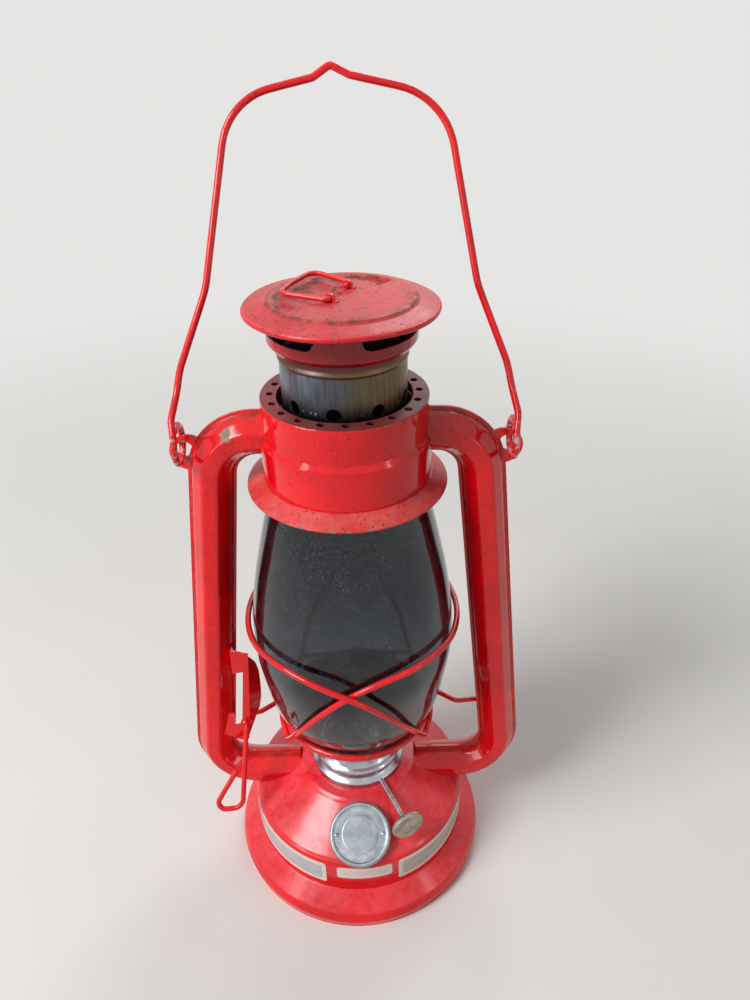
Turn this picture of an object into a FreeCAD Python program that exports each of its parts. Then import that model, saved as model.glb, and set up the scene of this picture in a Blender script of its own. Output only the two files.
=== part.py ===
"""Tubular hurricane lantern in pressed sheet steel and wire, one solid file per piece.

Lengths are millimetres.  The origin is the centre of the foot where it rests, +Z is up,
the filler cap and the wick knob face -Y, and the two side tubes lie in the plane y = 0.
"""
import FreeCAD, Part
import math
import os

V = FreeCAD.Vector
UP = V(0, 0, 1)

# ---------------------------------------------------------------- driving dimensions
SHEET = 0.8                 # pressed steel of the frame
TIN = 0.6                   # thinner tinplate of the burner, cap and chimney
GAP = 0.3                   # room between pieces that move past each other
RUNNING = 0.06              # radial clearance of a pin that turns in its hole

FOOT_R = 65.9               # foot lip, at its widest
TANK_R = 55.4               # fuel tank wall
FOOT_SEAT_R = 51.5          # inner edge of the seat under the tank
CREASE_Z = 16.5             # where the tank wall meets the foot
SHOULDER_Z = 36.2
NECK_R = 30.0               # raised step around the burner
NECK_Z = 53.4               # burner seat
BURNER_HOLE_R = 16.5

CAP_X = 0.6
CAP_TILT = 32.0             # filler axis, from vertical toward the front
CAP_FACE_Y = -46.1
CAP_FACE_Z = 48.4
CAP_DEPTH = 4.6
FILLER_R = 12.2             # outside of the filler neck

COLLAR_R = 24.0
CONE_TOP_Z = 69.8
SHAFT_AZ = 25.0             # knob side, from the front toward +X
SHAFT_OFFSET = 2.0          # shaft line beside the lantern's axis
SHAFT_Z = 55.5
SHAFT_R = 1.2
KNOB_R = 8.0
KNOB_H = 52.2               # knob centre along the shaft
WICK_OFFSET = -2.7          # wick plane beside the lantern's axis
STAR_R = 3.5

TUBE_TOP_X = 53.3           # where the upright's centre line meets the top run
TUBE_TOP_Z = 247.5
TUBE_LOW_X = 76.35          # where it meets the bottom run
TUBE_LOW_Z = 46.0
TUBE_END_X = 26.0
TOP_BEND_R = 19.0
LOW_BEND_R = 21.0
TUBE_HALF_W = 8.3           # in the tubes' plane
TUBE_HALF_D = 9.5           # front to back
TUBE_POWER = 1.9            # roundness of the section, 2 is an ellipse
FLANGE_W = 1.7
FLANGE_T = 0.6
EAR_X = 63.5                # centre of the ear disc on each upper bend
EAR_Z = 238.9
EAR_R = 8.0
EAR_HOLE_X = 65.1           # hole that the bail's eye passes through
EAR_HOLE_Z = 240.4
EAR_HOLE_R = 3.4

CROWN_LOW_R = 34.3
CROWN_UP_R = 32.9
CROWN_LOW_Z = 230.2
CROWN_STEP_Z = (247.2, 249.5)
CROWN_TOP_Z = 264.1
CROWN_HOLE_R = 26.3
SKIRT_R = 41.1
SKIRT_Z = 226.1
AIR_HOLES = 20
AIR_HOLE_R = 1.5
AIR_HOLE_RING_R = 28.9

CHIMNEY_R = 24.3
CHIMNEY_HOLES = 9
CHIMNEY_HOLE_R = 2.75
CHIMNEY_HOLE_Z = 265.5
DRUM_R = 28.3
HOOD_R = 36.4
HOOD_Z = 302.0
HOOD_DISC_R = 27.1
RING_WIRE_R = 0.95
RING_Z = 303.3
RING_A = V(3.3, 10.3, RING_Z)       # where the lift ring's two ends turn inward
RING_B = V(-4.4, -9.2, RING_Z)

PLATE_RIM_R = 37.2
PLATE_RIM_Z = 92.3
GLOBE_T = 1.8
GUARD_R = 1.35
SPRING_R = 28.4
SPRING_WIRE_R = 0.5

BAIL_R = 1.4
BAIL_LEAN = 23.8            # back from upright
PIVOT_Y = -5.3              # bail axis, the centre of the eyes in front of the ears
PIVOT_Z = 245.4
EYE_X = 66.0
EYE_R = 7.6                 # centre line of the bail's end eyes
EYE_SWEEP = 318.0           # the eyes are left open at the end of the wire

LEVER_R = 1.3
LEVER_EYE = V(-55.5, -7.6, 86.8)
LEVER_FAR = V(64.0, 5.7, 85.0)
BRACKET_Y = -8.0            # front face of the lever bracket


# ---------------------------------------------------------------- shape helpers
def unit(v):
    return V(v).normalize()


def corner(before, at, after, radius):
    """The two ends of the arc that rounds a corner, with its centre, axis and turn."""
    a = unit(at - before)
    b = unit(after - at)
    turn = a.getAngle(b)
    if turn < 1e-4 or radius < 0.02:
        return at, at, None, None, 0.0
    cut = radius * math.tan(turn / 2)
    start = at - a * cut
    axis = unit(a.cross(b))
    centre = start + axis.cross(a) * radius
    return start, at + b * cut, centre, axis, turn


def route(points, radii, closed=False):
    """Straight runs and tangent arcs along a line of corner points."""
    n = len(points)
    arcs = []
    for i in range(n):
        if closed or 0 < i < n - 1:
            arcs.append(corner(points[i - 1], points[i], points[(i + 1) % n], radii[i]))
        else:
            arcs.append((points[i], points[i], None, None, 0.0))
    spans = []
    for i in range(n):
        start, end, centre, axis, turn = arcs[i]
        if turn:
            spans.append(("arc", start, end, centre, axis, turn))
        if i < n - 1 or closed:
            following = arcs[(i + 1) % n][0]
            if end.distanceToPoint(following) > 1e-5:
                spans.append(("run", end, following))
    return spans


def route_edges(spans):
    edges = []
    for span in spans:
        if span[0] == "run":
            edges.append(Part.LineSegment(span[1], span[2]).toShape())
        else:
            middle = FreeCAD.Rotation(span[4], math.degrees(span[5]) / 2).multVec(span[1] - span[3])
            edges.append(Part.Arc(span[1], span[3] + middle, span[2]).toShape())
    return edges


def rod(points, radii, radius, closed=False):
    """A round wire bent along a line of corner points."""
    pieces = []
    for span in route(points, radii, closed):
        if span[0] == "run":
            run = span[2] - span[1]
            pieces.append(Part.makeCylinder(radius, run.Length, span[1], run))
        else:
            tangent = span[4].cross(span[1] - span[3])
            ring = Part.Wire([Part.makeCircle(radius, span[1], tangent)])
            face = Part.Face(ring)
            pieces.append(face.revolve(span[3], span[4], math.degrees(span[5])))
    return pieces[0].multiFuse(pieces[1:]).removeSplitter()


def widest_bend(before, at, after):
    """The largest bend radius that leaves both neighbouring corners their half of the run."""
    half_turn = unit(at - before).getAngle(unit(after - at)) / 2
    shorter = min((at - before).Length, (after - at).Length)
    return 0.48 * shorter / math.tan(half_turn)


def offset_line(points, thickness):
    """The line beside an open polyline, on its left, at one distance."""
    moved = []
    for i, p in enumerate(points):
        normals = []
        for a, b in ((i - 1, i), (i, i + 1)):
            if a >= 0 and b < len(points):
                d = unit(points[b] - points[a])
                normals.append(V(-d.z, 0, d.x))
        n = normals[0] if len(normals) == 1 else unit(normals[0] + normals[1])
        moved.append(p + n * (thickness / n.dot(normals[0])))
    return moved


def sheet_face(outline, thickness):
    """The cut face of a bent sheet: (r, z, bend radius) corners, thickened to the left."""
    outer = [V(r, 0, z) for r, z, _ in outline]
    inner = offset_line(outer, thickness)
    radii = [bend for _, _, bend in outline]
    inner_radii = list(radii)
    for i in range(1, len(outer) - 1):
        a = outer[i] - outer[i - 1]
        b = outer[i + 1] - outer[i]
        left = a.x * b.z - a.z * b.x > 0
        inner_radii[i] = max(radii[i] - thickness, 0) if left else radii[i] + thickness
        if radii[i] == 0:
            inner_radii[i] = 0
    edges = route_edges(route(outer, radii)) + route_edges(route(inner, inner_radii))
    edges.append(Part.LineSegment(outer[0], inner[0]).toShape())
    edges.append(Part.LineSegment(outer[-1], inner[-1]).toShape())
    return Part.Face(Part.Wire(Part.__sortEdges__(edges)))


def turned_sheet(outline, thickness):
    return sheet_face(outline, thickness).revolve(V(), UP, 360)


def turned_solid(outline):
    """A solid of revolution from corner points whose ends are joined through the axis."""
    pts = [V(r, 0, z) for r, z in outline]
    return Part.Face(Part.makePolygon(pts + [pts[0]])).revolve(V(), UP, 360)


def ring(major, minor, z):
    return Part.makeTorus(major, minor, V(0, 0, z))


def box(x0, x1, y0, y1, z0, z1):
    return Part.makeBox(x1 - x0, y1 - y0, z1 - z0, V(x0, y0, z0))


def polar(radius, azimuth, z):
    """A point at an azimuth counted from the front (-Y) toward +X."""
    a = math.radians(azimuth)
    return V(radius * math.sin(a), -radius * math.cos(a), z)


def save(name, shape):
    shape.exportStep("parts/" + name + ".step")
    facts = (name, len(shape.Solids), shape.isValid(), shape.Volume)
    print("%-20s solids %d  valid %s  volume %.1f" % facts)


# ---------------------------------------------------------------- tank and foot
def tank_outline():
    """Outside of the tank from the crease up the wall and over the dome to the burner hole."""
    return [(TANK_R, CREASE_Z, 0), (TANK_R, SHOULDER_Z, 3.4), (46.0, 42.5, 30.0),
            (NECK_R + 1.4, 52.0, 1.2), (NECK_R - 0.4, NECK_Z, 0.9), (BURNER_HOLE_R, NECK_Z, 0)]


def tank_filled():
    """Everything inside the tank's outer surface, for trimming what is soldered to it."""
    outline = [(r, z) for r, z, _ in tank_outline()]
    return turned_solid([(0, CREASE_Z)] + outline + [(0, NECK_Z)])


def cap_placement():
    """The filler's own frame: its Z axis leaves the tank, its origin is the cap's face."""
    turn = FreeCAD.Rotation(V(1, 0, 0), CAP_TILT)
    return FreeCAD.Placement(V(CAP_X, CAP_FACE_Y, CAP_FACE_Z), turn)


def in_cap_frame(shape):
    shape.Placement = cap_placement().multiply(shape.Placement)
    return shape


def tank_shell():
    neck_hole = in_cap_frame(Part.makeCylinder(FILLER_R, 30, V(0, 0, -24)))
    return turned_sheet(tank_outline(), SHEET).cut(neck_hole)


def tank_floor():
    """Flanged disc that closes the tank, its rim pressed inside the wall."""
    r = TANK_R - SHEET
    z = CREASE_Z + SHEET
    flange = [(r - SHEET, z + 1.8, 0), (r - SHEET, z, 1.0), (0, z, 0)]
    return turned_sheet(flange, SHEET)


def foot_ring():
    """Pressed foot: a flat seat under the tank, a sloping flange and a rolled-in lip."""
    outline = [(FOOT_R - 0.9, 0, 0), (FOOT_R - 0.9, 1.0, 1.5), (FOOT_R, 4.6, 4.5), (64.4, 9.3, 2.2),
               (TANK_R + 0.4, CREASE_Z, 1.2), (FOOT_SEAT_R, CREASE_Z, 0)]
    return turned_sheet(outline, SHEET)


def filler_neck():
    """Tube that passes through the dome, its mouth under the cap."""
    tube = Part.makeCylinder(FILLER_R, 13.0, V(0, 0, -14.6))
    bore = Part.makeCylinder(FILLER_R - SHEET, 15.0, V(0, 0, -15.6))
    return in_cap_frame(tube.cut(bore))


def filler_cap():
    """Pressed cap: flat face inside a rolled rim, a recessed ring and a skirt with a hem."""
    outline = [(13.75, -CAP_DEPTH, 0), (13.75, -0.9, 0.9), (12.9, -0.05, 0.6), (12.0, -0.55, 0.5),
               (0, -0.55, 0)]
    cap = turned_sheet(outline, TIN)
    cap = cap.fuse([ring(13.95, 1.15, -1.15), ring(13.5, 0.45, -CAP_DEPTH + 0.45)])
    pips = [Part.makeCylinder(0.7, 0.9, V(side * 11.2, 0, -1.0)) for side in (-1, 1)]
    return in_cap_frame(cap.fuse(pips).removeSplitter())


def cap_gasket():
    """Rubber ring between the cap and the mouth of the neck."""
    disc = Part.makeCylinder(12.4, 0.2, V(0, 0, -1.45))
    return in_cap_frame(disc.cut(Part.makeCylinder(9.0, 1.0, V(0, 0, -2.0))))


def label(start, end, low, high):
    """Thin blank plate bent round the tank wall, between two azimuths."""
    outer = Part.makeCylinder(TANK_R + 0.3, high - low, V(0, 0, low))
    sheet = outer.cut(Part.makeCylinder(TANK_R, high - low, V(0, 0, low)))
    a = polar(90, start, low)
    b = polar(90, end, low)
    wedge = Part.Face(Part.makePolygon([V(0, 0, low), a, b, V(0, 0, low)])).extrude(V(0, 0, high - low))
    return sheet.common(wedge)


# ---------------------------------------------------------------- burner
def shaft_frame():
    """The wick shaft's frame: its Z axis runs outward along the shaft."""
    a = math.radians(SHAFT_AZ)
    out = V(math.sin(a), -math.cos(a), 0)
    side = V(math.cos(a), math.sin(a), 0)
    turn = FreeCAD.Rotation(side, UP, out, "ZXY")
    return FreeCAD.Placement(side * SHAFT_OFFSET + V(0, 0, SHAFT_Z), turn), out, side


def on_shaft(shape):
    shape.Placement = shaft_frame()[0].multiply(shape.Placement)
    return shape


def wick_box(width, depth, z0, z1):
    """An upright box on the wick's plane, its width along the shaft."""
    _, out, side = shaft_frame()
    c = side * WICK_OFFSET
    corners = [c + out * (sw * width / 2) + side * (sd * depth / 2) for sw, sd in
               ((-1, -1), (1, -1), (1, 1), (-1, 1), (-1, -1))]
    for p in corners:
        p.z = z0
    return Part.Face(Part.makePolygon(corners)).extrude(V(0, 0, z1 - z0))


def shaft_hole(radius):
    return on_shaft(Part.makeCylinder(radius, 40, V(0, 0, -4)))


def burner_collar():
    """Tinplate collar that screws into the neck: a lip over the seat and a straight band."""
    outline = [(COLLAR_R - 1.2, NECK_Z, 0), (COLLAR_R, NECK_Z + 0.5, 0.4), (COLLAR_R, NECK_Z + 3.3, 0.8),
               (COLLAR_R - 2.2, NECK_Z + 4.2, 0.5), (21.2, 59.4, 2.4), (21.6, 61.1, 0.6), (20.9, 61.7, 0)]
    collar = turned_sheet(outline, TIN)
    barrel = Part.makeCylinder(BURNER_HOLE_R - 0.3, 9.0, V(0, 0, NECK_Z - 8.0))
    barrel = barrel.cut(Part.makeCylinder(BURNER_HOLE_R - 0.3 - TIN, 11.0, V(0, 0, NECK_Z - 9.0)))
    floor = Part.makeCylinder(COLLAR_R - 0.7, TIN, V(0, 0, NECK_Z))
    floor = floor.cut(Part.makeCylinder(BURNER_HOLE_R - 0.9, TIN, V(0, 0, NECK_Z)))
    shape = collar.fuse([barrel, floor]).removeSplitter()
    return shape.cut(shaft_hole(SHAFT_R + GAP))


def burner_gallery():
    """Air gallery on the collar: a bright rolled shoulder, with air holes hidden inside."""
    outline = [(20.2, 61.9, 0), (22.7, 62.2, 0.9), (22.7, 63.6, 1.4), (20.4, 65.2, 1.0), (18.9, 67.6, 0)]
    shape = turned_sheet(outline, TIN)
    floor = Part.makeCylinder(21.0, TIN, V(0, 0, 61.7))
    floor = floor.cut(wick_box(13.8, 3.8, 61.0, 63.0))
    for i in range(12):
        floor = floor.cut(Part.makeCylinder(1.6, 2.0, polar(14.5, i * 30.0 + 15.0, 60.8)))
    return shape.fuse(floor).removeSplitter()


def flame_cone():
    """Domed blast cone with the flame slot across its top."""
    outline = [(18.2, 65.0, 0), (17.3, 66.6, 2.0), (12.0, 69.1, 4.0), (7.0, CONE_TOP_Z, 4.0),
               (0, CONE_TOP_Z, 0)]
    return turned_sheet(outline, TIN).cut(wick_box(15.0, 4.6, 64.0, 75.0))


def wick_tube():
    """Flat tube that guides the wick, slotted for the star wheels."""
    tube = wick_box(13.4, 3.4, 46.0, 67.6).cut(wick_box(12.6, 2.6, 45.0, 69.0))
    slots = on_shaft(Part.makeCylinder(STAR_R + GAP, 1.6, V(0, 0, -4.3)))
    slots = slots.fuse(on_shaft(Part.makeCylinder(STAR_R + GAP, 1.6, V(0, 0, 2.7))))
    return tube.cut(slots)


def wick():
    """Flat woven cotton, from the tank up to the flame."""
    return wick_box(11.8, 1.8, 31.0, 68.4)


def wick_shaft():
    """Drawn steel wire through the collar, from the star wheels to the knob."""
    return on_shaft(Part.makeCylinder(SHAFT_R, KNOB_H + 1.2 + 6.0, V(0, 0, -6.0)))


def star_wheel(at):
    """Thin toothed wheel that bites the wick."""
    points = []
    teeth = 10
    for i in range(2 * teeth):
        r = STAR_R if i % 2 == 0 else STAR_R - 1.0
        a = math.pi * i / teeth
        points.append(V(r * math.cos(a), r * math.sin(a), at))
    disc = Part.Face(Part.makePolygon(points + [points[0]])).extrude(V(0, 0, 0.8))
    return disc.cut(Part.makeCylinder(SHAFT_R, 2.0, V(0, 0, at - 0.5)))


def star_wheels():
    return on_shaft(Part.makeCompound([star_wheel(-3.9), star_wheel(3.1)]))


def wick_knob():
    """Small pressed button with a domed face and a rolled edge."""
    outline = [(0, -1.6), (KNOB_R - 1.0, -1.6), (KNOB_R, -0.8), (KNOB_R, 0.7), (KNOB_R - 0.9, 1.5),
               (KNOB_R - 3.2, 1.9), (0, 2.1)]
    knob = turned_solid(outline)
    hub = Part.makeCylinder(2.2, 2.4, V(0, 0, -3.8))
    knob = knob.fuse(hub).removeSplitter()
    knob = knob.cut(Part.makeCylinder(SHAFT_R, 5.3, V(0, 0, -4.0)))
    knob.translate(V(0, 0, KNOB_H))
    return on_shaft(knob)


# ---------------------------------------------------------------- side tubes
def half_section(front, inner):
    """One half of the tube's section: points of |x/a|^n + |y/b|^n = 1 on one side of y = 0."""
    shrink = SHEET if inner else 0
    a = TUBE_HALF_W - shrink
    b = TUBE_HALF_D - shrink
    points = []
    for i in range(13):
        t = math.pi * i / 12
        c = math.cos(t)
        s = math.sin(t)
        x = a * math.copysign(abs(c) ** (2 / TUBE_POWER), c)
        y = b * abs(s) ** (2 / TUBE_POWER)
        points.append((x, -y if front else y))
    return points


def half_tube_face(front, at, across):
    """Cut face of one stamped half, its curved wall and two flat flanges."""
    def place(x, y):
        return at + across * x + V(0, y, 0)
    out = -1 if front else 1
    edges = []
    for inner in (False, True):
        curve = Part.BSplineCurve()
        curve.interpolate([place(x, y) for x, y in half_section(front, inner)])
        edges.append(curve.toShape())
    wall = TUBE_HALF_W
    core = Part.Wire(Part.__sortEdges__(edges + [
        Part.LineSegment(place(wall - SHEET, 0), place(wall, 0)).toShape(),
        Part.LineSegment(place(SHEET - wall, 0), place(-wall, 0)).toShape()]))
    faces = [Part.Face(core)]
    for side in (-1, 1):
        a = side * (wall - 0.5)
        b = side * (wall + FLANGE_W)
        y = out * FLANGE_T
        corners = [place(a, 0), place(b, 0), place(b, y), place(a, y)]
        faces.append(Part.Face(Part.makePolygon(corners + [corners[0]])))
    return faces


def swept_half(side, front):
    """One stamped half of a side tube, from the crown round both bends to the tank."""
    line = [V(side * TUBE_END_X, 0, TUBE_TOP_Z), V(side * TUBE_TOP_X, 0, TUBE_TOP_Z),
            V(side * TUBE_LOW_X, 0, TUBE_LOW_Z), V(side * TUBE_END_X, 0, TUBE_LOW_Z)]
    pieces = []
    for span in route(line, (0, TOP_BEND_R, LOW_BEND_R, 0)):
        if span[0] == "run":
            tangent = unit(span[2] - span[1])
            for face in half_tube_face(front, span[1], tangent.cross(V(0, 1, 0))):
                pieces.append(face.extrude(span[2] - span[1]))
        else:
            tangent = unit(span[4].cross(span[1] - span[3]))
            for face in half_tube_face(front, span[1], tangent.cross(V(0, 1, 0))):
                pieces.append(face.revolve(span[3], span[4], math.degrees(span[5])))
    return pieces[0].multiFuse(pieces[1:])


def crown_filled():
    return turned_solid([(0, 200), (CROWN_LOW_R, 200), (CROWN_LOW_R, CROWN_STEP_Z[0]),
                         (CROWN_UP_R, CROWN_STEP_Z[1]), (CROWN_UP_R, 290), (0, 290)])


def half_tube(side, front):
    tube = swept_half(side, front)
    out = -1 if front else 1
    depth = V(0, out * FLANGE_T, 0)
    disc = Part.Face(Part.Wire([Part.makeCircle(EAR_R, V(side * EAR_X, 0, EAR_Z), V(0, 1, 0))]))
    inside = swept_filled(side)
    ear = disc.extrude(depth).cut(inside)
    tube = tube.fuse(ear)
    hole = Part.makeCylinder(EAR_HOLE_R, 4, V(side * EAR_HOLE_X, -2, EAR_HOLE_Z), V(0, 1, 0))
    over_neck = Part.makeCylinder(NECK_R + GAP, 20, V(0, 0, TUBE_LOW_Z))
    tube = tube.cut([hole, crown_filled(), tank_filled(), over_neck])
    return tube.removeSplitter()


def swept_filled(side):
    """The room inside the upper bend of a tube, kept free of the ear plate."""
    line = [V(side * 36, 0, TUBE_TOP_Z), V(side * TUBE_TOP_X, 0, TUBE_TOP_Z),
            V(side * TUBE_LOW_X, 0, TUBE_LOW_Z)]
    pieces = []
    width = 2 * TUBE_HALF_W - 1.0
    for span in route(line, (0, TOP_BEND_R, 0)):
        run = span[0] == "run"
        tangent = unit(span[2] - span[1]) if run else unit(span[4].cross(span[1] - span[3]))
        across = tangent.cross(V(0, 1, 0)) * (width / 2)
        corners = [span[1] - across - V(0, 3, 0), span[1] + across - V(0, 3, 0),
                   span[1] + across + V(0, 3, 0), span[1] - across + V(0, 3, 0)]
        face = Part.Face(Part.makePolygon(corners + [corners[0]]))
        if run:
            pieces.append(face.extrude(span[2] - span[1]))
        else:
            pieces.append(face.revolve(span[3], span[4], math.degrees(span[5])))
    return pieces[0].multiFuse(pieces[1:])


# ---------------------------------------------------------------- crown
def crown_shell():
    """Air chamber wall, stepped in above its middle, with a way in for each side tube."""
    outline = [(CROWN_LOW_R, CROWN_LOW_Z, 0), (CROWN_LOW_R, CROWN_STEP_Z[0], 0.6),
               (CROWN_UP_R, CROWN_STEP_Z[1], 0.6), (CROWN_UP_R, CROWN_TOP_Z, 0)]
    shell = turned_sheet(outline, SHEET)
    duct = Part.makeCylinder(6.0, 100, V(-50, 0, TUBE_TOP_Z), V(1, 0, 0))
    return shell.cut(duct)


def crown_ring():
    """Pierced plate that closes the air chamber round the chimney."""
    r = CROWN_UP_R - SHEET
    outline = [(r, CROWN_TOP_Z, 0), (CROWN_HOLE_R, CROWN_TOP_Z, 0.6), (CROWN_HOLE_R, CROWN_TOP_Z - 2.2, 0)]
    plate = turned_sheet(outline, SHEET)
    holes = []
    for i in range(AIR_HOLES):
        at = polar(AIR_HOLE_RING_R, 1.2 + i * 360.0 / AIR_HOLES, CROWN_TOP_Z - 3)
        holes.append(Part.makeCylinder(AIR_HOLE_R, 6, at))
    return plate.cut(holes)


def crown_skirt():
    """Sloping weather flange under the crown, its edge turned under."""
    outline = [(SKIRT_R, SKIRT_Z, 0), (CROWN_LOW_R + 0.6, CROWN_LOW_Z, 0.4),
               (CROWN_LOW_R - 0.7, CROWN_LOW_Z, 0)]
    edge = ring(SKIRT_R - 0.55, 0.55, SKIRT_Z - 0.25)
    return turned_sheet(outline, SHEET).fuse(edge).removeSplitter()


# ---------------------------------------------------------------- globe and its cage
def globe():
    """Blown glass chimney: one smooth curve turned round the axis, open at both ends."""
    outer = [V(r, 0, z) for r, z in ((32.2, 88.3), (32.4, 91.2), (33.5, 94.4), (36.9, 98.6), (40.2, 104.0),
             (42.3, 111.0), (43.9, 121.0), (46.0, 136.0), (46.3, 146.0), (45.9, 156.0), (44.4, 168.0),
             (42.3, 180.5), (38.9, 196.0), (35.8, 209.0), (33.2, 217.5), (32.2, 224.0), (31.8, 231.2))]
    inner = []
    for i, p in enumerate(outer):
        d = unit(outer[min(i + 1, len(outer) - 1)] - outer[max(i - 1, 0)])
        inner.append(p + V(-d.z, 0, d.x) * GLOBE_T)
    inner[0] = outer[0] - V(GLOBE_T, 0, 0)
    inner[-1] = outer[-1] - V(GLOBE_T, 0, 0)
    edges = []
    for points in (outer, inner):
        curve = Part.BSplineCurve()
        curve.interpolate(points)
        edges.append(curve.toShape())
    edges.append(Part.LineSegment(outer[0], inner[0]).toShape())
    edges.append(Part.LineSegment(outer[-1], inner[-1]).toShape())
    return Part.Face(Part.Wire(Part.__sortEdges__(edges))).revolve(V(), UP, 360)


def globe_plate():
    """Dished plate that carries the globe: a cone over the burner, seat ledge and a wired rim."""
    outline = [(19.5, 68.3, 0), (21.6, 71.6, 4.0), (29.2, 86.2, 2.0), (33.4, 87.2, 1.6), (35.9, 91.6, 0)]
    roll = ring(PLATE_RIM_R - 1.7, 1.7, PLATE_RIM_Z)
    return turned_sheet(outline, 0.7).fuse(roll).removeSplitter()


def lift_tongue():
    """Tab at the back of the plate that rests on the lift wire."""
    low = LEVER_FAR.z + LEVER_R + GAP
    return box(-4, 4, 31.5, 43.4, low, low + SHEET).cut(globe_plate())


def guard_hoop(high, crossing_r):
    """Closed wire hoop round the globe, high on one side and hugging the plate on the other.

    The two hoops cross at the front and the back, one wire's thickness apart.
    """
    half = [(90, 49.9, 153.6), (60, 50.2, 155.4), (34, 49.8, 156.2), (13, crossing_r, 153.4),
            (-3, crossing_r, 146.6), (-18, crossing_r - 0.8, 133.0), (-33, 47.0, 115.0), (-61, 38.3, 86.9),
            (-76, 38.2, 90.0), (-90, 38.0, 90.0)]
    points = [V(high * p.x, p.y, p.z) for p in (polar(r, az, z) for az, r, z in half)]
    points += [V(p.x, -p.y, p.z) for p in points[-2:0:-1]]
    radii = []
    for i, p in enumerate(points):
        bend = widest_bend(points[i - 1], p, points[(i + 1) % len(points)])
        radii.append(3.2 if abs(p.z - half[7][2]) < 0.01 else bend)
    return rod(points, radii, GUARD_R, True)


# ---------------------------------------------------------------- canopy
def chimney():
    """Thin steel chimney with a bead under the drum and nine draught holes."""
    outline = [(CHIMNEY_R, 233.0, 0), (CHIMNEY_R, 279.6, 0.8), (CHIMNEY_R + 0.7, 280.9, 0.8),
               (CHIMNEY_R, 282.2, 0.8), (CHIMNEY_R, 286.5, 0)]
    tube = turned_sheet(outline, TIN)
    holes = []
    for i in range(CHIMNEY_HOLES):
        direction = polar(1, -8.5 + i * 360.0 / CHIMNEY_HOLES, 0)
        holes.append(Part.makeCylinder(CHIMNEY_HOLE_R, 30, V(0, 0, CHIMNEY_HOLE_Z), direction))
    return tube.cut(holes)


def bell():
    """Pressed ring at the chimney's foot: it covers the globe's mouth and seats the spring."""
    r = CHIMNEY_R + TIN
    outline = [(31.4, 232.3, 0), (26.2, 232.3, 1.0), (r, 233.8, 1.0), (r, 239.0, 0)]
    return turned_sheet(outline, TIN)


def canopy_spring():
    """Coil spring between the bell and the crown's pierced plate, bent from tangent arcs."""
    low = 232.3 + SPRING_WIRE_R
    high = CROWN_TOP_Z - SHEET - 0.1 - SPRING_WIRE_R
    turns = 4
    corners_per_turn = 8
    reach = SPRING_R / math.cos(math.pi / corners_per_turn)
    count = turns * corners_per_turn
    rise = (high - low) / count
    points = [polar(reach, 360.0 * i / corners_per_turn, low + rise * i) for i in range(count + 1)]
    return rod(points, [0.98 * SPRING_R] * (count + 1), SPRING_WIRE_R)


def hood_drum():
    """Vent drum under the hood, curving in to the chimney, with three long slots."""
    outline = [(CHIMNEY_R + 0.1, 284.6, 0), (26.6, 284.9, 1.6), (DRUM_R, 287.2, 2.0), (DRUM_R, 300.0, 0)]
    drum = turned_sheet(outline, TIN)
    for middle in (57.5, 177.5, 297.5):
        slot = Part.makeCylinder(40, 6.2, V(0, 0, 290.8))
        a = polar(90, middle - 36, 290.8)
        b = polar(90, middle + 36, 290.8)
        wedge = Part.Face(Part.makePolygon([V(0, 0, 290.8), a, b, V(0, 0, 290.8)])).extrude(V(0, 0, 6.2))
        slot = slot.common(wedge)
        ends = [Part.makeCylinder(3.1, 40, V(0, 0, 293.9), polar(1, middle + s * 36, 0)) for s in (-1, 1)]
        drum = drum.cut([slot] + ends)
    return drum


def hood_plate():
    """Broad rain hood: sloping brim with a rolled edge and a raised flat disc."""
    outline = [(HOOD_R - 1.1, 299.3, 0), (HOOD_DISC_R + 1.5, 300.9, 0.8), (HOOD_DISC_R, HOOD_Z, 0.7),
               (0, HOOD_Z, 0)]
    brim = turned_sheet(outline, 0.7)
    plate = brim.fuse(ring(HOOD_R - 1.1, 1.1, 298.4)).removeSplitter()
    large_rivet = Part.makeCylinder(0.9, 4, V(-5.3, -0.9, 300))
    small_rivet = Part.makeCylinder(0.8, 4, V(-3.3, -3.8, 300))
    return plate.cut([large_rivet, small_rivet])


def ring_clips():
    """Two small straps riveted to the hood that hold the ends of the lift ring."""
    along = unit(RING_A - RING_B)
    straps = []
    for end, way in ((RING_A, -1), (RING_B, 1)):
        at = end + along * (way * 2.2)
        pad = Part.makeCylinder(RING_WIRE_R + 0.7, 1.6, at - along * 0.8, along)
        foot = box(-2.9, 2.9, -0.8, 0.8, HOOD_Z, HOOD_Z + 0.55)
        foot.rotate(V(), UP, math.degrees(math.atan2(along.y, along.x)) + 90)
        foot.translate(V(at.x, at.y, 0))
        strap = pad.fuse(foot).removeSplitter()
        bore = Part.makeCylinder(RING_WIRE_R + RUNNING, 4, at - along * 2, along)
        under = box(-60, 60, -60, 60, HOOD_Z - 20, HOOD_Z)
        straps.append(strap.cut([bore, under]))
    return Part.makeCompound(straps)


def hood_ring():
    """Wire ring for lifting the hood, its two ends turned inward on one line."""
    along = unit(RING_A - RING_B)
    points = [RING_A - along * 4.2, RING_A, V(-10.9, 21.9, RING_Z + 1.0), V(-18.6, 9.0, RING_Z + 0.5),
              V(-22.0, -1.0, RING_Z + 0.2), RING_B, RING_B + along * 4.2]
    return rod(points, (0, 1.6, 4.0, 20.0, 4.0, 1.6, 0), RING_WIRE_R)


# ---------------------------------------------------------------- bail
def bail_point(x, forward, h):
    """A point in the leaning bail: across, in front of its plane, and up along it."""
    a = math.radians(BAIL_LEAN)
    y = PIVOT_Y + h * math.sin(a) - forward * math.cos(a)
    return V(x, y, PIVOT_Z + h * math.cos(a) + forward * math.sin(a))


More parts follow.
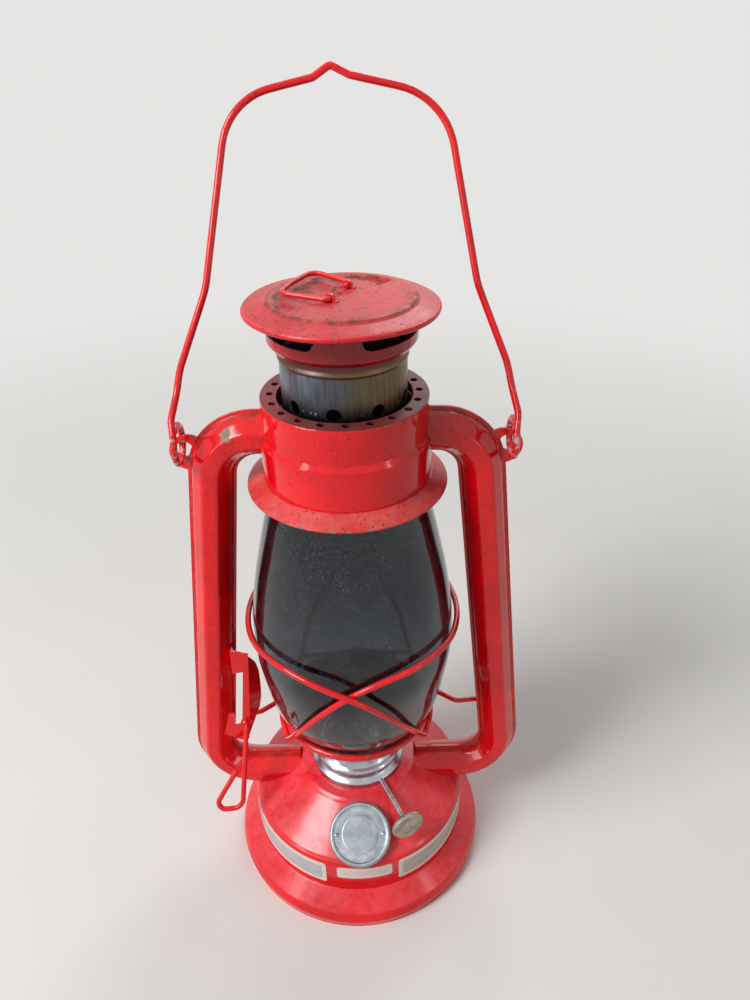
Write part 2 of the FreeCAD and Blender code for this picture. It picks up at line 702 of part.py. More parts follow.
def bail():
    """One wire: two S-bent legs, a peaked top and an open eye through each ear."""
    leg = [(EYE_X, EYE_R, 0, 0), (EYE_X, EYE_R, 3.0, 8), (66.9, 5.6, 9.6, 8), (65.2, 0.6, 20.0, 14),
           (63.6, 0, 28.8, 30), (51.9, 0, 59.0, 34), (40.2, 0, 126.1, 34)]
    left = [bail_point(-x, forward, h) for x, forward, h, _ in leg]
    right = [bail_point(x, forward, h) for x, forward, h, _ in leg]
    peak = [bail_point(x, 0, h) for x, h in ((-8.6, 133.2), (-2.2, 137.5), (5.0, 133.9))]
    bends = [bend for _, _, _, bend in leg]
    wire = rod(left + peak + right[::-1], bends + [4.0, 2.4, 4.0] + bends[::-1], BAIL_R)
    lean = FreeCAD.Rotation(V(1, 0, 0), -BAIL_LEAN)
    start = lean.multVec(V(0, -1, 0))
    for side in (-1, 1):
        centre = V(side * EYE_X, PIVOT_Y, PIVOT_Z)
        circle = Part.makeCircle(BAIL_R, centre + start * EYE_R, lean.multVec(UP))
        eye = Part.Face(Part.Wire([circle])).revolve(centre, V(1, 0, 0), EYE_SWEEP)
        wire = wire.fuse(eye)
    return wire.removeSplitter()


# ---------------------------------------------------------------- globe lift
def lever_axis():
    return unit(LEVER_FAR - LEVER_EYE)


def thumb_point(along, down):
    """A point of the thumb loop: its plane hangs from the eye, 21 degrees forward."""
    axis = unit(V(LEVER_FAR.x - LEVER_EYE.x, LEVER_FAR.y - LEVER_EYE.y, 0))
    back = UP.cross(axis)
    tilt = math.radians(21)
    fall = UP * -math.cos(tilt) - back * math.sin(tilt)
    return V(-55.1, -10.7, 86.9) + axis * along + fall * down


def lift_lever():
    """One wire: thumb loop, through the bracket's eye, round behind the globe, into the far tube."""
    axis = lever_axis()
    points = [thumb_point(-7.2, 23.4), thumb_point(-21.2, 44.2), thumb_point(-6.0, 44.2), thumb_point(0, 0),
              V(-55.5, -2.4, 86.6), V(-48.8, 1.2, 84.9), V(-41.2, 7.0, 84.9), V(-41.2, 41.2, 84.9),
              V(40.8, 41.2, 84.9), V(40.8, 12.6, 84.9), LEVER_FAR - axis * 12.4, LEVER_FAR + axis * 3.0]
    return rod(points, (0, 5.2, 5.2, 1.9, 2.6, 4.0, 5.0, 30.0, 24.0, 6.0, 6.0, 0), LEVER_R)


def bracket_edge_x(z):
    """Inner edge of the bracket's front strip, which leans with the side tube."""
    return -50.0 - (133.6 - z) * 0.0875


def lever_bracket():
    """Folded sheet bracket: C-shaped front plate with a catch, a side web, an eye and a weld tab."""
    front = [(-57.6, 136.3), (-49.8, 133.8), (-53.2, 92.0), (-55.1, 75.3), (-59.0, 74.0), (-67.5, 79.2),
             (-66.4, 82.5), (-63.6, 93.6), (-61.2, 93.6), (-61.0, 85.2), (-57.4, 86.2), (-56.9, 92.0),
             (-53.5, 122.4), (-58.6, 121.4)]
    corners = [V(x, BRACKET_Y, z) for x, z in front]
    plate = Part.Face(Part.makePolygon(corners + [corners[0]])).extrude(V(0, SHEET, 0))
    eye = Part.makeCylinder(2.8, SHEET, V(LEVER_EYE.x, BRACKET_Y, LEVER_EYE.z), V(0, 1, 0))
    web_edge = [(-7.9, 133.0), (-5.6, 129.0), (-3.2, 124.0), (-1.4, 117.0), (-0.4, 107.0), (0.0, 98.0),
                (-0.8, 91.5), (-3.2, 86.5), (-5.7, 81.0), (-7.9, 76.0)]
    corners = [V(bracket_edge_x(z) - 0.4 + 0.725 * (y - BRACKET_Y), y, z) for y, z in web_edge]
    web = Part.Face(Part.makePolygon(corners + [corners[0]]))
    normal = web.normalAt(0, 0)
    normal = normal if normal.x < 0 else normal * -1
    web = web.extrude(normal * SHEET)
    tab = box(-58.4, -57.6, BRACKET_Y, -FLANGE_T, 121.5, 136.0)
    shape = plate.fuse([eye, web, tab]).removeSplitter()
    hole = Part.makeCylinder(LEVER_R + 0.35, 4, V(LEVER_EYE.x, BRACKET_Y - 1, LEVER_EYE.z), V(0, 1, 0))
    return shape.cut([hole, swept_filled_full(-1)])


def swept_filled_full(side):
    """The left or right tube as one filled bar, for trimming what is welded to its wall."""
    line = [V(side * TUBE_TOP_X, 0, TUBE_TOP_Z), V(side * TUBE_LOW_X, 0, TUBE_LOW_Z)]
    tangent = unit(line[1] - line[0])
    across = tangent.cross(V(0, 1, 0))
    points = half_section(True, False) + half_section(False, False)[::-1]
    corners = [line[0] + across * x + V(0, y, 0) for x, y in points]
    edges = []
    for chunk in (corners[:13], corners[13:]):
        curve = Part.BSplineCurve()
        curve.interpolate(chunk)
        edges.append(curve.toShape())
    return Part.Face(Part.Wire(Part.__sortEdges__(edges))).extrude(line[1] - line[0])


def lever_hole():
    """Hole in the far tube that the lift wire turns in."""
    return Part.makeCylinder(LEVER_R + RUNNING, 6, LEVER_FAR - lever_axis() * 2, lever_axis())


# ---------------------------------------------------------------- files
os.makedirs("parts", exist_ok=True)

save("tank_shell", tank_shell())
save("tank_floor", tank_floor())
save("foot_ring", foot_ring())
save("filler_neck", filler_neck())
save("filler_cap", filler_cap())
save("cap_gasket", cap_gasket())
save("label_left", label(-76.0, -17.5, 20.5, 35.0))
save("label_front", label(-11.7, 16.8, 26.4, 34.4))
save("label_right", label(20.5, 80.0, 20.3, 34.8))

save("burner_collar", burner_collar())
save("burner_gallery", burner_gallery())
save("flame_cone", flame_cone())
save("wick_tube", wick_tube())
save("wick", wick())
save("wick_shaft", wick_shaft())
save("star_wheels", star_wheels())
save("wick_knob", wick_knob())

save("left_tube_front", half_tube(-1, True))
save("left_tube_rear", half_tube(-1, False))
save("right_tube_front", half_tube(1, True))
save("right_tube_rear", half_tube(1, False).cut(lever_hole()))

save("crown_shell", crown_shell())
save("crown_ring", crown_ring())
save("crown_skirt", crown_skirt())

save("globe", globe())
save("globe_plate", globe_plate())
save("lift_tongue", lift_tongue())
save("guard_hoop_right", guard_hoop(1, 48.7))
save("guard_hoop_left", guard_hoop(-1, 51.5))

save("chimney", chimney())
save("bell", bell())
save("canopy_spring", canopy_spring())
save("hood_drum", hood_drum())
save("hood_plate", hood_plate())
save("ring_clips", ring_clips())
save("hood_ring", hood_ring())

save("bail", bail())
save("lift_lever", lift_lever())
save("lever_bracket", lever_bracket())
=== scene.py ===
"""Looks of a tubular kerosene lantern: enamelled sheet steel, tinplate, wire, glass and cotton.

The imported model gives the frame.  New pieces are worked out in millimetres in the same axes
and put into their meshes in metres: +Z is up and the filler cap faces -Y.
"""
import math

import bmesh
import bpy
import numpy as np
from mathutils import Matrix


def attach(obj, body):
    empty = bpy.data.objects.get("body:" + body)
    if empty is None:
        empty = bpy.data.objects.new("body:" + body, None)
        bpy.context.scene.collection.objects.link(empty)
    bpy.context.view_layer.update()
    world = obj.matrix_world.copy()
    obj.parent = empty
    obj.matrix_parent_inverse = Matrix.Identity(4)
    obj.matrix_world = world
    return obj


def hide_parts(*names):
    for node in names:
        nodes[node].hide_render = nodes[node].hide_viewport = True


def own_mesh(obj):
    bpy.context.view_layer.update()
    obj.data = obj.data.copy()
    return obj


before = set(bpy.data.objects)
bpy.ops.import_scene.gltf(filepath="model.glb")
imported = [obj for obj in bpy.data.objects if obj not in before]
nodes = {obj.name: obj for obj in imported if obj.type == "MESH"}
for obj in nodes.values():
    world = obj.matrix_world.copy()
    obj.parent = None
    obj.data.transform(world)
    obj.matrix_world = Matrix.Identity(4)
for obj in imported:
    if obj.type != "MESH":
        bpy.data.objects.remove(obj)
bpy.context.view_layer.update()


# ---------------------------------------------------------------- foot
# The foot is drawn from 0.8 mm sheet: a flat seat soldered under the tank, a sloping flange
# and a lip rolled in at the bottom, so that the lantern stands on a narrow ring.
# It is dipped in red enamel with the rest of the frame, and knocks have nicked the lip.
MM = 0.001
SHEET = 0.8


def rounded(corners, spacing=1.5):
    """Points along a line of (r, z, bend radius, wear) corners, each bend drawn as an arc.

    An arc starts and ends bend * tan(turn / 2) from its corner and turns evenly between.
    Returns the points, no further apart than the spacing, and how worn each one is: the
    wear of the nearest corner times exp(-(distance / 1.4 mm)^2).
    """
    p = np.array([c[:2] for c in corners], float)
    line = [p[:1]]
    for i in range(1, len(p) - 1):
        a = (p[i] - p[i - 1]) / np.linalg.norm(p[i] - p[i - 1])
        b = (p[i + 1] - p[i]) / np.linalg.norm(p[i + 1] - p[i])
        turn = math.atan2(a[0] * b[1] - a[1] * b[0], a @ b)
        bend = max(corners[i][2], 0.02)
        start = p[i] - a * bend * math.tan(abs(turn) / 2)
        t = np.linspace(0, 1, 3 + int(abs(turn) * 5))[:, None] * abs(turn)
        side = np.array([-a[1], a[0]]) * math.copysign(1, turn)
        line.append(start + bend * (np.sin(t) * a + (1 - np.cos(t)) * side))
    points = evened(np.concatenate(line + [p[-1:]]), spacing)
    away = np.linalg.norm(points[:, None] - p[None], axis=2)
    wear = np.array([c[3] if len(c) > 3 else 0 for c in corners])
    return points, (wear * np.exp(-(away / 1.4) ** 2)).max(1)


def evened(line, spacing):
    """The same line with points added, so that none is further than the spacing from the next.

    A point of the even row that falls within a fifth of the spacing of one of its own is left out.
    """
    step = np.linalg.norm(np.diff(line, axis=0), axis=1)
    line = line[np.concatenate([[True], step > 0.02])]
    run = np.concatenate([[0], np.cumsum(np.linalg.norm(np.diff(line, axis=0), axis=1))])
    row = np.arange(0, run[-1], spacing)
    clear = np.abs(row[:, None] - run[None]).min(1) > spacing / 5
    at = np.sort(np.concatenate([run, row[clear]]))
    return np.stack([np.interp(at, run, line[:, k]) for k in range(line.shape[1])], -1)


def around(profile, segments):
    """A profile of (r, z) points turned about the axis: x = r sin a, y = -r cos a."""
    a = np.linspace(0, 2 * math.pi, segments, endpoint=False)[:, None]
    r = profile[None, :, 0]
    z = np.broadcast_to(profile[None, :, 1], (segments, len(profile)))
    return np.stack([r * np.sin(a), -r * np.cos(a), z], -1)


def walled(points, wear, thickness):
    """A closed section: the line of points and its offset on the left, joined at both ends."""
    along = np.gradient(points, axis=0)
    along /= np.linalg.norm(along, axis=1)[:, None]
    inner = points + np.stack([-along[:, 1], along[:, 0]], -1) * thickness
    return np.concatenate([points, inner[::-1]]), np.concatenate([wear, wear[::-1]])


def grid(points, closed=True, wear=0.0, grime=0.0):
    """One sheet of a surface: points[u, v] in millimetres, whether it closes in u, and its marks."""
    return points, closed, wear, grime


def surface(name, *sheets):
    """A mesh object in metres from grids; each face joins four neighbours, and v always closes.

    Doubled points are merged and the faces of each closed shell are turned outward.  Every
    point carries how worn and how grimy it is, from 0 to 1.
    """
    places, faces, marks = [], [], []
    first = 0
    for points, closed, wear, grime in sheets:
        nu, nv = points.shape[:2]
        i, j = np.meshgrid(np.arange(nu if closed else nu - 1), np.arange(nv), indexing="ij")
        i2 = (i + 1) % nu
        j2 = (j + 1) % nv
        corners = np.stack([i * nv + j, i2 * nv + j, i2 * nv + j2, i * nv + j2], -1)
        faces.append(first + corners.reshape(-1, 4))
        places.append(points.reshape(-1, 3) * MM)
        marks.append(np.stack([np.broadcast_to(m, (nu, nv)).reshape(-1) for m in (wear, grime)]))
        first += nu * nv
    mesh = bpy.data.meshes.new(name)
    mesh.from_pydata(np.concatenate(places).tolist(), [], np.concatenate(faces).tolist())
    for kind, values in zip(("wear", "grime"), np.concatenate(marks, 1)):
        mesh.attributes.new(kind, "FLOAT", "POINT").data.foreach_set("value", values.astype(np.float32))
    welded = bmesh.new()
    welded.from_mesh(mesh)
    bmesh.ops.remove_doubles(welded, verts=welded.verts, dist=1e-6)
    bmesh.ops.recalc_face_normals(welded, faces=welded.faces)
    welded.to_mesh(mesh)
    welded.free()
    mesh.polygons.foreach_set("use_smooth", np.ones(len(mesh.polygons), bool))
    mesh.set_sharp_from_angle(angle=math.radians(38))
    piece = bpy.data.objects.new(name, mesh)
    bpy.context.scene.collection.objects.link(piece)
    return piece


def inner_side(count, amount=1.0):
    """Marks on a closed section: nothing on its outer half, the amount on its inner half."""
    return np.where(np.arange(count) < count // 2, 0.0, amount)


def turned(corners, thickness=SHEET, segments=224, grime=0.0):
    """The grid of a sheet pressed round the axis: its wall lies left of the line of corners."""
    loop, wear = walled(*rounded(corners), thickness)
    return grid(around(loop, segments), wear=wear, grime=grime)


def colour(code):
    """sRGB hex to linear RGBA: c / 12.92 below 0.04045, else ((c + 0.055) / 1.055)^2.4."""
    c = np.array([int(code[i:i + 2], 16) / 255 for i in (1, 3, 5)])
    c = np.where(c <= 0.04045, c / 12.92, ((c + 0.055) / 1.055) ** 2.4)
    return (*c.tolist(), 1.0)


def add(tree, kind, inputs=None, stops=None, **settings):
    """Adds a node with its settings; an input is a value, an output, or a node for its output.

    A Mix node of colours takes its share at input 0 and its two colours at 6 and 7.
    """
    node = tree.nodes.new("ShaderNode" + kind)
    for name, value in settings.items():
        setattr(node, name, value)
    for name, value in (inputs or {}).items():
        if isinstance(value, bpy.types.Node):
            value = next(output for output in value.outputs if output.enabled)
        if isinstance(value, bpy.types.NodeSocket):
            tree.links.new(value, node.inputs[name])
        else:
            node.inputs[name].default_value = value
    for i, (at, value) in enumerate(stops or ()):
        stop = node.color_ramp.elements[i] if i < 2 else node.color_ramp.elements.new(at)
        stop.position = at
        stop.color = value if isinstance(value, tuple) else (value, value, value, 1)
    return node


def shader(name, **constants):
    """An empty material with its node tree and its shader, whose constant inputs are set."""
    material = bpy.data.materials.new(name)
    material.use_nodes = True
    tree = material.node_tree
    tree.nodes.clear()
    glossy = add(tree, "BsdfPrincipled", constants)
    add(tree, "OutputMaterial", {"Surface": glossy})
    return material, tree, glossy


def enamel(name, fresh="#f20815", deep="#d6050f", film="#dd6668", dust=0.2, soot=0.85, gloss=0.07,
           bared=("#4a2a24", "#a8937c")):
    """Red stoving enamel on steel, dipped and baked, so it is glassy and saturated.

    A film of dust dulls the faces that look up, and its pink tone there is also a painted sheen of
    the light above; brown grime cakes the seams, soot leaves dark specks and small rings, and knocks
    at the worn edges bare the steel, dark to light.
    """
    material, tree, glossy = shader(name, **{"IOR": 1.42, "Coat Weight": 0.1, "Coat Roughness": 0.03})
    place = add(tree, "TexCoord").outputs
    patches = add(tree, "TexNoise", {"Vector": place["Object"], "Scale": 1 / (34 * MM), "Detail": 4.0})
    spread = add(tree, "ValToRGB", {"Fac": patches}, stops=((0.36, 0.0), (0.62, 1.0)))
    paint = add(tree, "Mix", {0: spread, 6: colour(deep), 7: colour(fresh)}, data_type="RGBA")

    # Faces that look up are mixed toward the film: dust, and also a painted pink sheen of the light above.
    facing = add(tree, "SeparateXYZ", {"Vector": place["Normal"]})
    up = add(tree, "ValToRGB", {"Fac": facing.outputs["Z"]}, stops=((0.30, 0.0), (0.95, 1.0)))
    cloud = add(tree, "TexNoise", {"Vector": place["Object"], "Scale": 1 / (11 * MM), "Detail": 8.0,
                                   "Roughness": 0.72})
    cloud_cut = add(tree, "ValToRGB", {"Fac": cloud}, stops=((0.28, 0.25), (0.66, 1.0)))
    settled = add(tree, "Math", {0: up, 1: dust}, operation="MULTIPLY")
    dust_and_sheen = add(tree, "Math", {0: settled, 1: cloud_cut}, operation="MULTIPLY")
    stain = add(tree, "TexNoise", {"Vector": place["Object"], "Scale": 1 / (4 * MM), "Detail": 5.0})
    light_or_dark = add(tree, "ValToRGB", {"Fac": stain}, stops=((0.30, 0.35), (0.50, 1.0)))
    dust_sheen_tone = add(tree, "Mix", {0: light_or_dark, 6: colour("#8a4038"), 7: colour(film)},
                    data_type="RGBA")
    dust_sheen_coated = add(tree, "Mix", {0: dust_and_sheen, 6: paint, 7: dust_sheen_tone}, data_type="RGBA")
    held = add(tree, "Attribute", attribute_name="grime")
    patchy = add(tree, "ValToRGB", {"Fac": stain}, stops=((0.34, 0.15), (0.60, 1.0)))
    caked = add(tree, "Math", {0: held.outputs["Fac"], 1: patchy}, operation="MULTIPLY")
    dry = add(tree, "ValToRGB", {"Fac": cloud},
              stops=((0.40, colour("#32130f")), (0.56, colour("#6b3a2c")), (0.66, colour("#a07a5e"))))
    veiled = add(tree, "Mix", {0: caked, 6: dust_sheen_coated, 7: dry}, data_type="RGBA")

    cells = add(tree, "TexVoronoi", {"Vector": place["Object"], "Scale": 1 / (2.3 * MM)})
    dot = add(tree, "ValToRGB", {"Fac": cells.outputs["Distance"]}, stops=((0.11, 1.0), (0.17, 0.0)))
    rare = add(tree, "TexNoise", {"Vector": place["Object"], "Scale": 1 / (13 * MM), "Detail": 2.0})
    rare_cut = add(tree, "ValToRGB", {"Fac": rare}, stops=((0.37, 0.0), (0.50, 1.0)))
    specks = add(tree, "Math", {0: dot, 1: rare_cut}, operation="MULTIPLY")
    spots = add(tree, "TexVoronoi", {"Vector": place["Object"], "Scale": 1 / (8 * MM)})
    ringed = add(tree, "ValToRGB", {"Fac": spots.outputs["Distance"]},
                 stops=((0.10, 0.0), (0.125, 1.0), (0.15, 0.0)))
    worn_ring = add(tree, "Math", {0: ringed, 1: stain}, operation="MULTIPLY")
    smut = add(tree, "TexNoise", {"Vector": place["Object"], "Scale": 1 / (1.7 * MM), "Detail": 5.0,
                                  "Roughness": 0.75})
    smut_cut = add(tree, "ValToRGB", {"Fac": smut}, stops=((0.59, 0.0), (0.67, 1.0)))
    smuts = add(tree, "Math", {0: smut_cut, 1: rare_cut}, operation="MULTIPLY")
    marks = add(tree, "Math", {0: specks, 1: worn_ring}, operation="MAXIMUM")
    black = add(tree, "Math", {0: marks, 1: smuts}, operation="MAXIMUM")
    sooty = add(tree, "Math", {0: black, 1: soot}, operation="MULTIPLY", use_clamp=True)
    sooted = add(tree, "Mix", {0: sooty, 6: veiled, 7: colour("#3a0f10")}, data_type="RGBA")

    edge = add(tree, "Attribute", attribute_name="wear")
    nick = add(tree, "TexNoise", {"Vector": place["Object"], "Scale": 1 / (3.0 * MM), "Detail": 6.0,
                                  "Roughness": 0.7})
    exposed = add(tree, "Math", {0: edge.outputs["Fac"], 1: 0.35, 2: nick}, operation="MULTIPLY_ADD")
    bare = add(tree, "ValToRGB", {"Fac": exposed}, stops=((0.70, 0.0), (0.73, 1.0)))
    metal = add(tree, "Mix", {0: stain, 6: colour(bared[0]), 7: colour(bared[1])}, data_type="RGBA")
    shown = add(tree, "Mix", {0: bare, 6: sooted, 7: metal}, data_type="RGBA")
    tree.links.new(shown.outputs[2], glossy.inputs["Base Color"])

    matt = add(tree, "Math", {0: dust_and_sheen, 1: caked}, operation="MAXIMUM")
    dull = add(tree, "Math", {0: matt, 1: 0.45, 2: gloss}, operation="MULTIPLY_ADD")
    duller = add(tree, "Math", {0: sooty, 1: 0.4, 2: dull}, operation="MULTIPLY_ADD")
    rough = add(tree, "Math", {0: bare, 1: 0.35, 2: duller}, operation="MULTIPLY_ADD", use_clamp=True)
    tree.links.new(rough.outputs[0], glossy.inputs["Roughness"])

    orange_peel = add(tree, "TexNoise", {"Vector": place["Object"], "Scale": 1 / (5 * MM), "Detail": 3.0})
    skin = add(tree, "Bump", {"Height": orange_peel, "Strength": 0.10, "Distance": 0.5 * MM})
    pits = add(tree, "Math", {0: bare, 1: -1.0}, operation="MULTIPLY")
    lost = add(tree, "Bump", {"Height": pits, "Strength": 0.5, "Distance": 0.12 * MM, "Normal": skin})
    tree.links.new(lost.outputs[0], glossy.inputs["Normal"])
    return material


def dress(piece, body, slot, material, *stands_for):
    """Gives a new piece its material, its body and the nodes that it stands for."""
    piece.data.materials.clear()
    piece.data.materials.append(material)
    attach(piece, body)
    if stands_for:
        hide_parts(*stands_for)


def coat(name, material):
    """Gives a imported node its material."""
    node = nodes[name]
    node.data.materials.clear()
    node.data.materials.append(material)


body_enamel = enamel("stoving_enamel_red")
# The foot and the tank carry a strong pink film on their upward faces: dust, and also a painted sheen of the
# light above.
dusted_sheened_enamel = enamel("dusted_sheened_enamel_red", film="#f0707c", dust=0.5, soot=0.55, gloss=0.10)
FOOT_LINE = [(65.0, 0.0, 0), (65.0, 1.0, 1.5, 0.25), (65.9, 4.6, 4.5, 0.22), (64.4, 9.3, 2.2),
             (57.2, 15.4, 2.0), (55.9, 16.5, 0.8, 0.2), (51.5, 16.5, 0)]
foot = surface("foot", turned(FOOT_LINE))
dress(foot, "frame", "red_enamel", dusted_sheened_enamel, "foot_ring")


# ---------------------------------------------------------------- fuel tank
# The tank is a shallow drawn drum: a straight wall, a round shoulder with a fine rolled line,
# a coned dome and a raised step for the burner.  Its floor is a disc pressed in and soldered.
# Grime has settled in the seam at the foot and round the step.
WALL_R = 55.4
TANK_LINE = [(WALL_R, 16.5, 0, 0.2), (WALL_R, 35.3, 2.2), (54.75, 37.2, 0.6), (54.5, 37.35, 0.4, 0.15),
             (53.6, 38.4, 2.6), (46.0, 42.7, 30.0), (32.0, 51.6, 1.6), (31.0, 52.5, 1.0),
             (29.6, 53.4, 0.9, 0.2), (16.5, 53.4, 0)]
tank = surface("tank", turned(TANK_LINE))
dress(tank, "frame", "red_enamel", dusted_sheened_enamel, "tank_shell")
coat("tank_floor", body_enamel)


# ---------------------------------------------------------------- blank plates
# Three thin printed plates are glued round the tank wall.  They are left blank: a pale ground
# with a grey panel inside a border, scuffed, and yellowed in patches.
PLATES = (("left", -76.0, -17.5, 20.5, 35.0, 2.0, "#9aa4b0"),
          ("front", -11.7, 16.8, 26.4, 34.4, 2.2, "#d8c2c1"),
          ("right", 20.5, 80.0, 20.3, 34.8, 2.0, "#9d9a94"))


def plate_grid(start, end, low, high, corner=1.4, lift=0.3):
    """A rounded rectangle bent round the tank wall, between two azimuths in degrees.

    At height v from its middle its half width is w - c + sqrt(c^2 - (|v| - h + c)^2) within a
    corner radius c of its ends, and w elsewhere.
    """
    w = math.radians(end - start) / 2 * WALL_R
    h = (high - low) / 2
    v = h * np.sin(np.linspace(-math.pi / 2, math.pi / 2, 41))
    past = np.clip(np.abs(v) - h + corner, 0, corner)
    half = w - corner + np.sqrt(corner ** 2 - past ** 2)
    u = np.linspace(-1, 1, 61)
    across = half[:, None] * np.concatenate([u, u[::-1]])[None]
    depth = np.concatenate([np.full(61, lift), np.zeros(61)])[None].repeat(41, 0)
    depth[[0, -1]] = 0.0
    a = math.radians((start + end) / 2) + across / WALL_R
    r = WALL_R + depth
    z = np.broadcast_to((low + high) / 2 + v[:, None], a.shape)
    return grid(np.stack([r * np.sin(a), -r * np.cos(a), z], -1), closed=False)


def printed_plate(name, middle, low, high, half_angle, inset, panel):
    """A blank printed label: a grey panel with soft edges on a pale scuffed ground.

    The panel is where the azimuth from the middle and the height are both inside its border;
    fine level lines across it are what is left of a printed screen.
    """
    material, tree, glossy = shader(name, **{"IOR": 1.45})
    place = add(tree, "TexCoord").outputs
    part = add(tree, "SeparateXYZ", {"Vector": place["Object"]})
    back = add(tree, "Math", {0: part.outputs["Y"], 1: -1.0}, operation="MULTIPLY")
    azimuth = add(tree, "Math", {0: part.outputs["X"], 1: back}, operation="ARCTAN2")
    from_middle = add(tree, "Math", {0: azimuth, 1: math.radians(middle)}, operation="SUBTRACT")
    aside = add(tree, "Math", {0: from_middle}, operation="ABSOLUTE")
    border = inset / WALL_R
    inside_u = add(tree, "MapRange", {"Value": aside, "From Min": half_angle - border,
                                      "From Max": half_angle - border - 0.006})
    high_up = add(tree, "Math", {0: part.outputs["Z"], 1: (low + high) / 2 * MM}, operation="SUBTRACT")
    off = add(tree, "Math", {0: high_up}, operation="ABSOLUTE")
    half = (high - low) / 2 - inset
    inside_v = add(tree, "MapRange", {"Value": off, "From Min": half * MM, "From Max": (half - 0.3) * MM})
    inside = add(tree, "Math", {0: inside_u, 1: inside_v}, operation="MULTIPLY")
    rows = add(tree, "Math", {0: part.outputs["Z"], 1: 2 * math.pi / (1.5 * MM)}, operation="MULTIPLY")
    row = add(tree, "Math", {0: rows}, operation="SINE")
    faded = add(tree, "TexNoise", {"Vector": place["Object"], "Scale": 1 / (5 * MM), "Detail": 6.0,
                                   "Roughness": 0.7})
    screen = add(tree, "Math", {0: row, 1: 0.16, 2: faded}, operation="MULTIPLY_ADD")
    left = add(tree, "ValToRGB", {"Fac": screen}, stops=((0.30, 0.35), (0.75, 1.0)))
    ink = add(tree, "Math", {0: inside, 1: left}, operation="MULTIPLY")
    yellowed = add(tree, "Mix", {0: faded, 6: colour("#cdbfaa"), 7: colour("#eceae7")}, data_type="RGBA")
    printed = add(tree, "Mix", {0: ink, 6: yellowed, 7: colour(panel)}, data_type="RGBA")
    tree.links.new(printed.outputs[2], glossy.inputs["Base Color"])
    worn = add(tree, "Math", {0: faded, 1: 0.35, 2: 0.22}, operation="MULTIPLY_ADD")
    tree.links.new(worn.outputs[0], glossy.inputs["Roughness"])
    return material


for name, start, end, low, high, inset, panel in PLATES:
    printed = printed_plate("printed_plate_" + name, (start + end) / 2, low, high,
                            math.radians(end - start) / 2, inset, panel)
    label = surface("blank_label_" + name, plate_grid(start, end, low, high))
    dress(label, "frame", "blank_plate", printed, "label_" + name)


# ---------------------------------------------------------------- filler neck and cap
# The cap is pressed tinplate: a flat face inside a bright rolled rim, a ring of fine radial
# grip marks, two blunt pips and a skirt with a hem.  It screws over the neck in the dome, and a
# rubber ring under its face seals it.
def tinplate(name, light="#a7afb5", dark="#8b949b", rough=0.44, grain=0.16, patch=6.0, stain=0.35):
    """Tinned sheet steel, rolled, so it is pale, soft-bright and clouded in patches.

    Grain is how much its roughness varies over 0.7 mm, and stain how dark it has tarnished.
    """
    material, tree, glossy = shader(name, **{"Metallic": 1.0})
    place = add(tree, "TexCoord").outputs
    bloom = add(tree, "TexNoise", {"Vector": place["Object"], "Scale": 1 / (patch * MM), "Detail": 6.0,
                                   "Roughness": 0.65})
    tone = add(tree, "ValToRGB", {"Fac": bloom}, stops=((0.35, colour(dark)), (0.62, colour(light))))
    fine = add(tree, "TexNoise", {"Vector": place["Object"], "Scale": 1 / (0.7 * MM), "Detail": 4.0})
    tarnish = add(tree, "ValToRGB", {"Fac": fine}, stops=((0.30, stain), (0.46, 0.0)))
    stained = add(tree, "Mix", {0: tarnish, 6: tone, 7: colour("#5c554e")}, data_type="RGBA")
    tree.links.new(stained.outputs[2], glossy.inputs["Base Color"])
    uneven = add(tree, "Math", {0: fine, 1: grain, 2: rough - grain / 2},
                 operation="MULTIPLY_ADD", use_clamp=True)
    tree.links.new(uneven.outputs[0], glossy.inputs["Roughness"])
    bump = add(tree, "Bump", {"Height": fine, "Strength": 0.06, "Distance": 0.05 * MM})
    tree.links.new(bump.outputs[0], glossy.inputs["Normal"])
    return material


def placed(points, origin, x_axis, z_axis):
    """Points of a piece's own frame, moved to the lantern: o + x X + y (Z x X) + z Z."""
    axes = np.stack([x_axis, np.cross(z_axis, x_axis), z_axis])
    return points @ axes + np.array(origin)


CAP_TILT = math.radians(32)
CAP_AXIS = (0.0, -math.sin(CAP_TILT), math.cos(CAP_TILT))
CAP_FACE = (0.6, -46.1, 48.4)
CAP_LINE = [(14.1, -4.6, 0), (14.1, -3.9, 0.4), (13.75, -3.3, 0.4), (13.75, -2.4, 0.3),
            (14.9, -1.9, 0.5), (15.1, -1.0, 0.9), (14.3, -0.1, 0.9), (13.2, -0.25, 0.5),
            (12.7, -0.62, 0.3), (8.9, -0.62, 0.3), (8.6, -0.5, 0.3), (0, -0.5, 0)]
TICKS = 60
TICK_R = 10.9
PIP_X = 11.6

tin = tinplate("rolled_tinplate")
loop, _ = walled(*rounded(CAP_LINE, 0.5), 0.5)
cap_points = around(loop, 12 * TICKS)
turn = np.linspace(0, 2 * math.pi, 12 * TICKS, endpoint=False)[:, None]
r, z = loop[None, :, 0], loop[None, :, 1]
tick = np.clip(1.6 * np.cos(TICKS * turn) - 0.6, 0, 1) * np.exp(-((r - TICK_R) / 0.8) ** 4) * 0.06
skirt_knurl = 0.14 * np.cos(TICKS * turn) * np.exp(-((z + 3.0) / 0.7) ** 4)
cap_points[..., 2] += tick
cap_points[..., :2] *= (1 + skirt_knurl / np.maximum(r, 1))[..., None]
for side in (-1, 1):
    away = np.hypot(cap_points[..., 0] - PIP_X * side, cap_points[..., 1])
    cap_points[..., 2] += 0.5 * np.exp(-(away / 0.75) ** 4)
cap = surface("cap", grid(placed(cap_points, CAP_FACE, (1, 0, 0), CAP_AXIS)))
dress(cap, "cap", "tinplate", tin, "filler_cap")
coat("filler_neck", tin)

